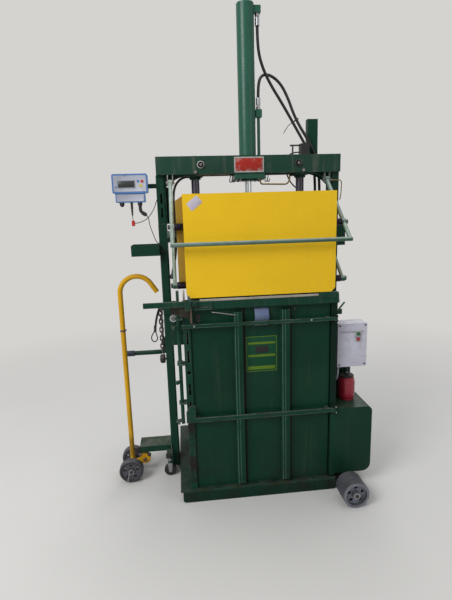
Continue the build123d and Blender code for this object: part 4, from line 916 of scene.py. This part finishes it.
class WOOLPRESS_OT_scale(bpy.types.Operator):
    """Fit the scale's panels, display, buttons and glands"""

    bl_idname = "wool_press.scale"
    bl_label = "Scale Display"

    def execute(self, context):
        low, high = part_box("scale_head")
        face, lower, under = low[1] + 0.003, low[1] + 0.006, low[2]
        for name, left, right, bottom, top, front, thick, border, depth, rounding, finish in (
            ("scale_panel", -0.7785, -0.5975, 1.776, 1.865, face - 0.0022, 0.0022, 0.003, -0.0004, 0.0008,
             "scale face"),
            ("scale_screen_rim", -0.756, -0.659, 1.796, 1.838, face - 0.0038, 0.0016, 0.004, -0.001, 0.0005,
             "scale grey"),
            ("scale_screen", -0.752, -0.663, 1.8, 1.834, face - 0.0033, 0.0013, 0.002, 0.0002, 0.0003,
             "dark screen"),
            ("scale_lower_panel", -0.766, -0.614, 1.723, 1.762, lower - 0.0016, 0.0016, 0.003, -0.0004,
             0.0006, "scale face"),
        ):
            plate(name, (left, front, bottom), (right, front + thick, top), border, depth, finish,
                  rounding=rounding)
        for number, (x, z, radius, finish) in enumerate((
            (-0.642, 1.833, 0.007, "scale blue"), (-0.619, 1.832, 0.008, "button red"),
            (-0.628, 1.808, 0.0085, "button yellow"), (-0.765, 1.802, 0.0045, "scale blue"),
        )):
            dress(boss("scale_key_%d" % number, radius, (x, face - 0.0018, z), 0.0018,
                       ((0.0012, -0.0006), (0.0004, 0.0012), (0.3 * radius, 0.0004)), 24), finish)
        y = (low[1] + high[1]) / 2 - 0.004
        for name, x, radius, depth, steps in (
            ("scale_blank_gland", -0.741, 0.014, 0.01, ((0.0015, 0), (0, 0.008), (0.0035, 0.004),
                                                        (0.004, 0.002))),
            ("scale_long_gland", -0.687, 0.0085, 0.006, ((0.0015, 0.03), (0.0012, 0.016), (0.0008, 0.02))),
            ("scale_socket", -0.64, 0.0135, 0.012, ((0.0015, 0.006), (0.0015, 0.002))),
        ):
            piece = stepped(name, radius, (x, y, under), (x, y, under - depth), steps, 20)
            if name == "scale_socket":
                bend = "-640 0 -10, -640.5 0 -28, -640 0 -44, -632 0 -58, -619 0 -66"
                elbow = bent_rod("scale_elbow", bend, 0.019, 16, (0, y, under))
                end = stepped("scale_elbow_end", 0.0115, (-0.628, y, under - 0.06),
                              (-0.612, y, under - 0.07), ((0.002, 0.004), (0.002, 0.003)), 20)
                merge(piece, elbow, end)
            dress(piece, "black plastic")
        return {"FINISHED"}


class WOOLPRESS_OT_scale_leads(bpy.types.Operator):
    """Run the thin leads between the scale, the left post and the tray"""

    bl_idname = "wool_press.scale_leads"
    bl_label = "Scale Leads"

    def execute(self, context):
        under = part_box("scale_head")[0][2]
        cord("scale_lead",
             "-610 -72 -72, -601 -72 -79, -596 -72 -95, -594.5 -70 -116, -590 -66 -140, -583 -60 -166, "
             "-574 -54 -192, -566 -50 -218, -558 -42 -235, -544 -38 -240",
             0.0045, 0.193, "black plastic", "object", "limp", base=(0, 0, under))
        clip = slab("earth_clip", (-0.694, -0.076, 1.588), (-0.676, -0.066, 1.612))
        inset(clip, 0.003, -0.001)
        inset(clip, 0.003, -0.001, (0, 1, 0))
        pull(clip, facing((0, 0, 1)), 0.003)
        pull(clip, facing((0, 0, -1)), 0.004)
        dress(soften(clip, 0.0018, 3), "button red")
        tail = bent_rod("earth_tail", "-687 -71 -72, -687.5 -71 -80, -686.5 -71 -92, -685 -71 -103", 0.004,
                        base=(0, 0, under))
        dress(tail, "black plastic")
        cord("earth_lead",
             "-544 -44 1730, -549 -58 1719, -556 -66 1696, -566 -70 1674, -579 -73 1654, -592 -77 1636, "
             "-608 -78 1622, -627 -76 1611.5, -646 -74 1605, -662 -72 1601, -677 -71 1599.5",
             0.0045, 0.198, "black plastic", "connector", "limp", with_pieces=[clip, tail])
        return {"FINISHED"}


class WOOLPRESS_OT_post_hook(bpy.types.Operator):
    """Hang the chain and the looped cord on the left post's hook, and fit the black hand knob"""

    bl_idname = "wool_press.post_hook"
    bl_label = "Hook, Chain and Knob"

    def execute(self, context):
        side, y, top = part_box("left_post")[0][0], -0.03, 1.086
        hook = bent_rod("post_hook", "1 0 2, -16 0 2, -34 0 1, -48 0 3, -54 0 14", 0.007,
                        base=(side, y, top))
        seat = stepped("post_hook_seat", 0.01, (side, y, top + 0.002), (side - 0.003, y, top + 0.002),
                       ((0.002, 0.001),), 20)
        dress(merge(hook, seat), "bare steel")
        link = torus("chain_link_0", 0.0105, 0.0042, 20, rotation=(0, math.pi / 2, 0))
        slide(link, lambda centre, normal: centre.z > 1e-4, (0, 0, 0.014), "faces")
        soften(link, 0.0002, 1, 60)
        link.data.transform(Matrix.Translation((side - 0.0185, y, top - 0.015)))
        middle = Matrix.Translation((side - 0.0185, y, 0))
        pitch = 0.0262
        for number in range(1, 11):
            turn = Matrix.Rotation(math.pi / 2 * (number % 2) + 0.25 * math.sin(2.1 * number), 4, "Z")
            change = Matrix.Translation((0, 0, -pitch * number)) @ middle @ turn @ middle.inverted()
            dress(copy_piece(link, "chain_link_%d" % number, change), "greasy steel")
        dress(link, "greasy steel")
        x = side - 0.011
        dress(collar("rope_knot", 0.0105, (x, y - 0.005, top + 0.008), (x, y - 0.005, top - 0.014), 0.002,
                     20),
              "dark rope")
        cord("rope_strand", "0 -5 -10, 0 -14 -40, -1 -16 -90, 1 -16 -140, -2 -16 -190, 0 -16 -236",
             0.0105, 0.227, "dark rope", "bare", "limp", base=(x, y, top), grain=(8, 4))
        x = side - 0.027
        cord("looped_cord",
             "0 -8.5 1, -5 -8 -11, -15 -6 -40, -25 -5 -80, -30.5 -12 -120, -35 -12 -145, -50 -12 -165, "
             "-57 -12 -187, -47.5 -12 -209, -26.5 -12 -209, -17 -12 -188, -23 -12 -166, -28.5 -12 -144, "
             "-24 -6 -115, -18 -6 -80, -8 -4 -42, 1 -2 -13, 4 -7 5",
             sizes().rope, 0.455, "dark rope", "object", "limp", base=(x, y, top), grain=(8, 4))
        splice = stepped("cord_splice", 0.0085, (x - 0.0315, y - 0.0055, top - 0.15),
                         (x - 0.029, y - 0.0055, top - 0.112), ((0.002, 0.004),), 16)
        dress(soften(splice, 0.002), "dark rope")
        stem = collar("hand_knob", 0.006, (side + 0.001, y, 0.758), (side - 0.014, y, 0.758), 0.0008, 20)
        grip = stepped("hand_knob_grip", 0.029, (side - 0.008, y, 0.76), (side - 0.032, y, 0.76),
                       ((0.004, 0.004), (0.006, 0.002), (0.006, -0.0015)), 10)
        inset(grip, 0.006, 0.003, (1, 0, 0))
        dress(merge(stem, soften(grip, 0.003, 3, 25)), "black plastic")
        return {"FINISHED"}


class WOOLPRESS_OT_latch_trim(bpy.types.Operator):
    """Fit the ring of the release lever, the guard over it and the plates and bolts beside the clamp bar"""

    bl_idname = "wool_press.latch_trim"
    bl_label = "Latch Fittings"

    def execute(self, context):
        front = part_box("release_lever")[0][1]
        x, z = -0.48, 1.09
        ring = boss("lever_ring", 0.0195, (x, front + 0.001, z), 0.004,
                    ((0.001, 0.0008), (0.0055, -0.0035)), 36)
        dress(soften(ring, 0.0008), "pale nylon", "release_lever")
        core = boss("lever_core", 0.012, (x, front, z), 0.0025, ((0.0015, 0.001), (0.004, -0.001)), 6)
        dress(soften(core, 0.0006), "bare steel", "release_lever")
        y, z = 0.061, 0.777
        sleeve = collar("lever_sleeve", 0.0145, (-0.756, y, z), (-0.575, y, z))
        dress(sleeve, "worn green", "release_lever")
        band = collar("grip_band_0", 0.0182, (-0.8065, y, z), (-0.7975, y, z), 0.0022)
        for number in range(1, 6):
            twin = copy_piece(band, "grip_band_%d" % number, Matrix.Translation((0.01 * number, 0, 0)))
            dress(twin, "grip blue", "release_lever")
        dress(band, "grip blue", "release_lever")
        plate("bar_clevis", (-0.4165, -0.4314, 1.145), (-0.3855, -0.4288, 1.206), 0.003, -0.0006,
              "worn green", rounding=0.0008)
        # Painted shadow: a matt black plate that stands for the dark gap beside the rail strap.
        plate("door_slot_painted_shadow", (-0.36, -0.3746, 1.067), (-0.335, -0.3722, 1.115), 0.002, -0.0004, "matt black",
              "lower_door", 0.0004)
        block("shaft_guard", (-0.476, -0.354, 1.113), (-0.4295, -0.347, 1.163), 0.004, -0.001, 0.0012,
              "rusty green", corner=(-0.476, 1.163), move=(0.018, 0, 0))
        block("latch_cover", (-0.4935, -0.408, 1.097), (-0.3925, -0.4045, 1.16), 0.003, -0.0006, 0.0006,
              "soiled steel", corner=(-0.4935, 1.097), move=(0, 0, 0.034))
        block("rest_horn", (-0.461, -0.37, 1.138), (-0.445, -0.355, 1.244), 0.002, 0.0006, 0.0012,
              "rusty green")
        block("wing_guide", (-0.4245, -0.372, 1.188), (-0.414, -0.362, 1.246), 0.0016, 0.0005, 0.001,
              "bare strip")
        block("rail_strap", (-0.3905, -0.4035, 1.068), (-0.38, -0.4, 1.158), 0.0015, 0.0004, 0.0008,
              "rusty steel")
        for number, x in enumerate((-0.371, 0.27)):
            dress(bolt("strap_bolt_%d" % number, (x, -0.411, 1.055), FRONT, 0.0037), "plated steel",
                  "lower_door")
        for number, z in enumerate((0.4985, 0.5315)):
            dress(bolt("hinge_nipple_%d" % number, (0.4194, -0.4148, z), (0.8, -0.6, 0), 0.0034),
                  "plated steel")
        catch = slab("corner_catch", (0.4275, -0.358, 1.066), (0.463, -0.352, 1.093))
        inset(catch, 0.004, -0.001)
        pull(catch, lambda centre, normal: normal.z > 0.9 and centre.x > 0.43, 0.0025)
        dress(soften(catch, 0.0012), "rusty green")
        dress(bent_rod("corner_stay", "412 -424 1104, 420 -424 1113, 438 -424 1135, 450 -424 1149", 0.0095),
              "worn green")
        dress(bolt("rail_end_bolt", (0.4282, -0.382, 1.151), (1, -0.3, 0), 0.0085), "plated steel")
        return {"FINISHED"}


class WOOLPRESS_OT_rail_trim(bpy.types.Operator):
    """Fit the wear strip and end blocks of the front rail, and the pull rod and hook of the lower door"""

    bl_idname = "wool_press.rail_trim"
    bl_label = "Rail and Door Fittings"

    def execute(self, context):
        block("rail_strip", (-0.3355, -0.4028, 1.1865), (0.312, -0.399, 1.1985), 0.0015, 0.0003, 0.0008,
              "bare strip")
        for number, (front, bottom, top) in enumerate(((-0.4066, 1.1596, 1.1886),
                                                       (-0.4086, 1.1416, 1.1566))):
            block("end_block_%d" % number, (-0.363, front, bottom), (-0.271, -0.4001, top), 0.003, -0.0003,
                  0.0012, "rusty green")
        rod = bent_rod("door_pull_rod",
                       "-276 -373.5 1126, -276 -395 1127, -272 -408 1127.5, -244 -409 1123, "
                       "-190 -408.5 1113, -156 -407.5 1106.5, -144 -404.5 1104",
                       0.006)
        dress(rod, "bare steel", "lower_door")
        hook = "183 -372.5 1129, 183 -380 1128, 183 -386 1118, 183 -385 1105, 183 -377 1102"
        dress(bent_rod("door_hook", hook, 0.007), "black plastic", "lower_door")
        return {"FINISHED"}


class WOOLPRESS_OT_loading_trim(bpy.types.Operator):
    """Fit the sleeves on the loading door's pivots, its left flange and the blank paper label"""

    bl_idname = "wool_press.loading_trim"
    bl_label = "Loading Door Fittings"

    def execute(self, context):
        y = -0.35
        for number, (side, z) in enumerate(((-1, 1.578), (1, 1.578), (-1, 1.27), (1, 1.27))):
            for kind, radius, inner, outer, lip, finish in (
                ("sleeve", 0.0186, 0.4034, 0.4494, 0.0016, "black steel"),
                ("cap", 0.0126, 0.4742, 0.4826, 0.001, "dark steel"),
            ):
                dress(collar("pivot_%s_%d" % (kind, number), radius, (side * inner, y, z),
                             (side * outer, y, z), lip),
                      finish, "loading_door")
        # The left flange of the loading door, darkened as painted shade.
        block("wing_flange", (-0.44, -0.3265, 1.265), (-0.4025, -0.3245, 1.736), 0.003, 0.0004, 0.0006,
              "wing painted shade yellow", "loading_door", corner=(-0.44, 1.736), move=(0, 0, -0.024))
        paper = plate("paper_label", (-0.035, -0.0007, -0.023), (0.035, 0, 0.023), 0.002, 0.00005,
                      "blank paper", "loading_door", 0.0001)
        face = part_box("loading_door")[0][1]
        lean = Matrix.Rotation(math.radians(-38), 4, "Y")
        paper.data.transform(Matrix.Translation((-0.343, face, 1.6955)) @ lean)
        return {"FINISHED"}


class WOOLPRESS_OT_webbing(bpy.types.Operator):
    """Bow the pull loop of webbing out from the lower door, tucked behind its upper strap"""

    bl_idname = "wool_press.webbing"
    bl_label = "Webbing Loop"

    def execute(self, context):
        low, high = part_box("webbing_loop")
        width, chord, rise, thick = high[0] - low[0], high[2] - low[2], 0.0295, 0.0022
        radius = (chord * chord / 4 + rise * rise) / (2 * rise)
        turn = math.asin(chord / 2 / radius)
        x, z = (low[0] + high[0]) / 2, (low[2] + high[2]) / 2
        foot = high[1] - 0.0008
        clear()
        bpy.ops.mesh.primitive_plane_add(size=1, location=(x, foot, z + chord / 2),
                                         rotation=(math.pi - turn, 0, 0))
        bpy.context.object.scale = (width, thick, 1)
        loop = settle("webbing_pull")
        bpy.ops.object.mode_set(mode="EDIT")
        bpy.ops.mesh.select_all(action="SELECT")
        bpy.ops.mesh.spin(steps=28, angle=-2 * turn, center=(x, foot - rise + radius, z), axis=(1, 0, 0))
        bpy.ops.mesh.select_all(action="SELECT")
        bpy.ops.mesh.normals_make_consistent(inside=False)
        done()
        dress(soften(loop, 0.0005), "blue webbing", "lower_door")
        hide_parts("webbing_loop")
        return {"FINISHED"}


class WOOLPRESS_OT_door_label(bpy.types.Operator):
    """Lay the plain striped label on the lower door"""

    bl_idname = "wool_press.door_label"
    bl_label = "Door Label"

    def execute(self, context):
        face = -0.373
        for name, left, right, bottom, top, front, back, border, depth, rounding, finish in (
            ("label_border", -0.089, 0.084, 0.765, 0.969, 0.0006, 0, 0.003, -0.0001, 0.0002, "label lime"),
            ("label_field", -0.0855, 0.0805, 0.7685, 0.9655, 0.0009, 0.0004, 0.002, 0.00005, 0.0001,
             "label green"),
            ("label_stripe_0", -0.079, 0.074, 0.924, 0.936, 0.0012, 0.0008, 0.001, 0.00005, 0.0001,
             "label lime"),
            ("label_stripe_1", -0.079, 0.074, 0.851, 0.864, 0.0012, 0.0008, 0.001, 0.00005, 0.0001,
             "label lime"),
            ("label_stripe_2", -0.079, 0.074, 0.777, 0.797, 0.0012, 0.0008, 0.001, 0.00005, 0.0001,
             "label lime"),
            ("label_window", -0.037, 0.036, 0.873, 0.914, 0.0012, 0.0008, 0.001, 0.00005, 0.0001,
             "matt black"),
        ):
            plate(name, (left, face - front, bottom), (right, face - back, top), border, depth, finish,
                  "lower_door", rounding)
        return {"FINISHED"}


class WOOLPRESS_OT_box_trim(bpy.types.Operator):
    """Fit the screws, the plate round the buttons, the ledge and the filter's cap and fitting"""

    bl_idname = "wool_press.box_trim"
    bl_label = "Control Box and Filter Fittings"

    def execute(self, context):
        low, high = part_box("control_lid")
        face = low[1]
        for number, (x, z) in enumerate(((0.462, 0.755), (0.613, 0.755), (0.462, 0.989), (0.613, 0.989))):
            dress(boss("lid_screw_%d" % number, 0.005, (x, face, z), 0.001,
                       ((0.0012, 0.0004), (0.0014, -0.0008)), 16),
                  "black plastic")
        block("lid_ledge", (low[0] + 0.016, face - 0.0018, 0.95), (high[0] - 0.024, face, 0.9535), 0.0008,
              0.0003, 0.0005, "dusty plastic", segments=1)
        x = 0.571
        for name, z in (("start_ring", 0.939), ("stop_ring", 0.907)):
            dress(boss(name, 0.017, (x, face, z), 0.0016, ((0.0012, 0.0006), (0.003, -0.001)), 36),
                  "pale nylon")
        block("button_plate", (x - 0.0168, face - 0.0014, 0.907), (x + 0.0168, face, 0.939), 0.0012,
              0.0003, 0.0004, "pill grey", segments=1)
        low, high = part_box("filter_canister")
        x, y, top = (low[0] + high[0]) / 2, (low[1] + high[1]) / 2, high[2]
        radius = (high[0] - low[0]) / 2
        cap = stepped("filter_cap", 0.86 * radius, (x, y, top - 0.001), (x, y, top + 0.006),
                      ((0.004, 0.003), (0.01, 0.002), (0.012, 0.008), (0.003, 0.002)), 40)
        dress(soften(cap, 0.0012), "matt black")
        bead = torus("filter_bead", radius - 0.0002, 0.0012, 64, location=(x, y, top - 0.04))
        slide(bead, lambda centre, normal: abs(normal.z) > 0.85, (0, 0, 0.0008), "faces")
        dress(bead, "filter red")
        stem = stepped("filter_stem", 0.0085, (x, y - 0.004, top + 0.01), (x, y - 0.004, top + 0.022),
                       ((0.001, 0.002), (0.002, 0.006)), 6)
        dress(stem, "plated steel")
        elbow = bent_rod("filter_elbow", "0 -4 26, 0 -4 40, -2 -2 52, -14 10 58", 0.015, 16, (x, y, top))
        dress(elbow, "black plastic")
        return {"FINISHED"}


class WOOLPRESS_OT_wheel_trim(bpy.types.Operator):
    """Fit the wheels' rings, the split pin and axle end, and the fittings of handle, platform and sill"""

    bl_idname = "wool_press.wheel_trim"
    bl_label = "Wheel Fittings"

    def execute(self, context):
        for node, outer, bore, finish in (
            ("right_wheel_front", 0.018, 0.012, "rim nylon"),
            ("jack_wheel_front", 0.017, 0.011, "tyre rubber"),
        ):
            low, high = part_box(node)
            x, y, z = (low[0] + high[0]) / 2, low[1], (low[2] + high[2]) / 2
            ring = boss(node + "_hub_ring", outer, (x, y + 0.0005, z), 0.0035,
                        ((0.001, 0.0008), (outer - bore - 0.001, -0.003)))
            dress(soften(ring, 0.0005), "plated steel", node)
            bead = boss(node + "_bead", 0.895 * (high[2] - low[2]) / 2, (x, y + 0.008, z), 0.0068,
                        ((0.0025, 0), (0.0035, -0.003)), 64)
            pick(bead, lambda centre, normal: abs(normal.y) > 0.9
                 and math.hypot(centre.x - x, centre.z - z) < 0.01)
            bpy.ops.mesh.delete(type="FACE")
            bpy.ops.mesh.select_mode(type="EDGE")
            bpy.ops.mesh.select_all(action="SELECT")
            bpy.ops.mesh.region_to_loop()
            bpy.ops.mesh.bridge_edge_loops()
            bpy.ops.mesh.select_all(action="SELECT")
            bpy.ops.mesh.normals_make_consistent(inside=False)
            done()
            dress(soften(bead, 0.0006), finish, node)
        for number, leg in enumerate(("-16 -3 -22, -18 -8 -40, -24 -12 -58",
                                      "-16 -6.5 -22, -21.5 -11.5 -40, -27.5 -15.5 -58")):
            prong = bent_rod("split_pin_%d" % number, "10 0 -2, -4 0 -4, -12 -1 -8, " + leg, 0.0042, 8,
                             (x, y - 0.0055, z))
            dress(prong, "plated steel", "jack_handle")
        end = boss("jack_axle_end", 0.01, (x, -0.1605, z), 0.0055, ((0.002, 0.0006), (0.003, -0.0008)))
        dress(soften(end, 0.0003, 1), "dark steel", "jack_handle")
        joint = collar("handle_joint", 0.0162, (-0.796, -0.042, 0.952), (-0.796, -0.042, 0.964), 0.0014)
        stud = stepped("handle_stud", 0.0048, (-0.781, -0.044, 0.962), (-0.774, -0.044, 0.962),
                       ((0.001, 0.001),), 16)
        dress(merge(joint, stud), "rusty steel", "jack_handle")
        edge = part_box("platform")[0][1]
        bumper = boss("platform_bumper", 0.0112, (-0.683, edge + 0.012, 0.16), 0.016, ((0.002, 0.002),), 20)
        dress(soften(bumper, 0.0015), "black plastic")
        dress(bolt("platform_bolt", (-0.734, edge + 0.0002, 0.166), FRONT, 0.006), "rusty steel")
        block("caster_block", (-0.579, -0.1235, 0.124), (-0.549, -0.112, 0.158), 0.003, -0.001, 0.0015,
              "black plastic")
        dress(collar("caster_collar", 0.014, (-0.556, -0.099, 0.1), (-0.556, -0.099, 0.124), 0.0015),
              "plated steel")
        # Painted shade: a matt black disc that stands for the dark inside of a hole in the sill.
        hole = boss("sill_hole_painted_shade", 0.007, (-0.449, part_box("sills")[0][1], 0.034), 0.0006,
                    ((0.0008, 0.0002), (0.001, -0.0006)), 24)
        dress(hole, "matt black")
        dress(bolt("pivot_bolt", (-0.716, -0.066, 0.097), FRONT, 0.0085), "rusty steel")
        return {"FINISHED"}


class WOOLPRESS_OT_finishes(bpy.types.Operator):
    """Make the finishes and give each solid of the press its own"""

    bl_idname = "wool_press.finishes"
    bl_label = "Paint and Finishes"

    def execute(self, context):
        make_finishes()
        for finish, names in NODE_FINISH.items():
            for name in names.split():
                NODES[name].data.materials.clear()
                NODES[name].data.materials.append(MATERIALS[finish])
        return {"FINISHED"}


class WOOLPRESS_OT_stage(bpy.types.Operator):
    """Set up the plain pale floor and the soft studio light"""

    bl_idname = "wool_press.stage"
    bl_label = "Floor and Light"

    def execute(self, context):
        c = colours()
        clear()
        bpy.ops.mesh.primitive_plane_add(size=60, location=(0, 0, -0.0004))
        floor = settle("studio_floor")
        w, main = shader("studio floor", Specular_IOR_Level=0.2, Roughness=0.8)
        w.join(main, Base_Color=w.mix(w.patches(1.2, 4, 0.6, 0.3, 0.7), c.floor, darker(c.floor, 0.97)))
        pale = w.add("ShaderNodeEmission", None, Color=c.backdrop, Strength=1.0)
        away = w.add("ShaderNodeVectorMath", {"operation": "LENGTH"}, w.place())
        seen = w.add("ShaderNodeLightPath").outputs["Is Camera Ray"]
        far = w.times(w.span(away.outputs["Value"], 1.3, 4.2), seen)
        faded = w.add("ShaderNodeMixShader", None, far, main.outputs[0], pale.outputs[0])
        w.join(w.tree.nodes["Material Output"], Surface=faded.outputs[0])
        floor.data.materials.append(MATERIALS["studio floor"])
        world = bpy.data.worlds.new("Studio")
        context.scene.world = world
        world.use_nodes = True
        world.node_tree.nodes.clear()
        w = Wiring(world.node_tree)
        rays = w.add("ShaderNodeLightPath").outputs
        seen = w.most(w.most(rays["Is Camera Ray"], rays["Is Glossy Ray"]), rays["Is Transmission Ray"])
        light = w.add("ShaderNodeBackground", None, Color=(0.95, 0.97, 1.0), Strength=0.45)
        shown = w.add("ShaderNodeBackground", None, Color=c.backdrop, Strength=1.0)
        both = w.add("ShaderNodeMixShader", None, seen, light.outputs[0], shown.outputs[0])
        w.add("ShaderNodeOutputWorld", None, Surface=both.outputs[0])
        for name, place, size, power in (
            ("key_light", (-3.6, -3.2, 4.2), 2.6, 205.0),
            ("fill_light", (3.6, -3.4, 2.6), 2.8, 22.0),
            ("top_light", (0.3, 0.6, 5.2), 2.6, 70.0),
            ("back_light", (1.5, 4.2, 3.4), 2.4, 50.0),
        ):
            lamp = bpy.data.lights.new(name, "AREA")
            lamp.size = size
            lamp.energy = power
            stand = bpy.data.objects.new(name, lamp)
            context.scene.collection.objects.link(stand)
            stand.location = place
            aim = Vector((0, 0, 1.2)) - Vector(place)
            stand.rotation_euler = aim.to_track_quat("-Z", "Y").to_euler()
        context.scene.view_settings.view_transform = "Standard"
        return {"FINISHED"}


OPERATORS = (
    WOOLPRESS_OT_camera,
    WOOLPRESS_OT_finishes,
    WOOLPRESS_OT_hoses,
    WOOLPRESS_OT_cables,
    WOOLPRESS_OT_scale_leads,
    WOOLPRESS_OT_post_hook,
    WOOLPRESS_OT_beam_trim,
    WOOLPRESS_OT_scale,
    WOOLPRESS_OT_latch_trim,
    WOOLPRESS_OT_rail_trim,
    WOOLPRESS_OT_loading_trim,
    WOOLPRESS_OT_webbing,
    WOOLPRESS_OT_door_label,
    WOOLPRESS_OT_box_trim,
    WOOLPRESS_OT_wheel_trim,
    WOOLPRESS_OT_stage,
)


class WOOLPRESS_PT_panel(bpy.types.Panel):
    """Sizes, colours and pieces of the wool press"""

    bl_idname = "WOOLPRESS_PT_panel"
    bl_label = "Wool Press"
    bl_space_type = "VIEW_3D"
    bl_region_type = "UI"
    bl_category = "Wool Press"

    def draw(self, context):
        for group in (context.scene.wool_press_sizes, context.scene.wool_press_colours):
            box = self.layout.box()
            for name in group.__annotations__:
                box.prop(group, name)
        for operator in OPERATORS:
            self.layout.operator(operator.bl_idname)


CLASSES = (WoolPressColours, WoolPressSizes, *OPERATORS, WOOLPRESS_PT_panel)


def register():
    for one in CLASSES:
        bpy.utils.register_class(one)
    bpy.types.Scene.wool_press_colours = bpy.props.PointerProperty(type=WoolPressColours)
    bpy.types.Scene.wool_press_sizes = bpy.props.PointerProperty(type=WoolPressSizes)


def unregister():
    del bpy.types.Scene.wool_press_sizes
    del bpy.types.Scene.wool_press_colours
    for one in reversed(CLASSES):
        bpy.utils.unregister_class(one)


def main():
    register()
    bpy.ops.wool_press.camera()
    bpy.ops.wool_press.finishes()
    bpy.ops.wool_press.hoses()
    bpy.ops.wool_press.cables()
    bpy.ops.wool_press.scale_leads()
    bpy.ops.wool_press.post_hook()
    bpy.ops.wool_press.beam_trim()
    bpy.ops.wool_press.scale()
    bpy.ops.wool_press.latch_trim()
    bpy.ops.wool_press.rail_trim()
    bpy.ops.wool_press.loading_trim()
    bpy.ops.wool_press.webbing()
    bpy.ops.wool_press.door_label()
    bpy.ops.wool_press.box_trim()
    bpy.ops.wool_press.wheel_trim()
    bpy.ops.wool_press.stage()
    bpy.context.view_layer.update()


if __name__ == "__main__":
    main()
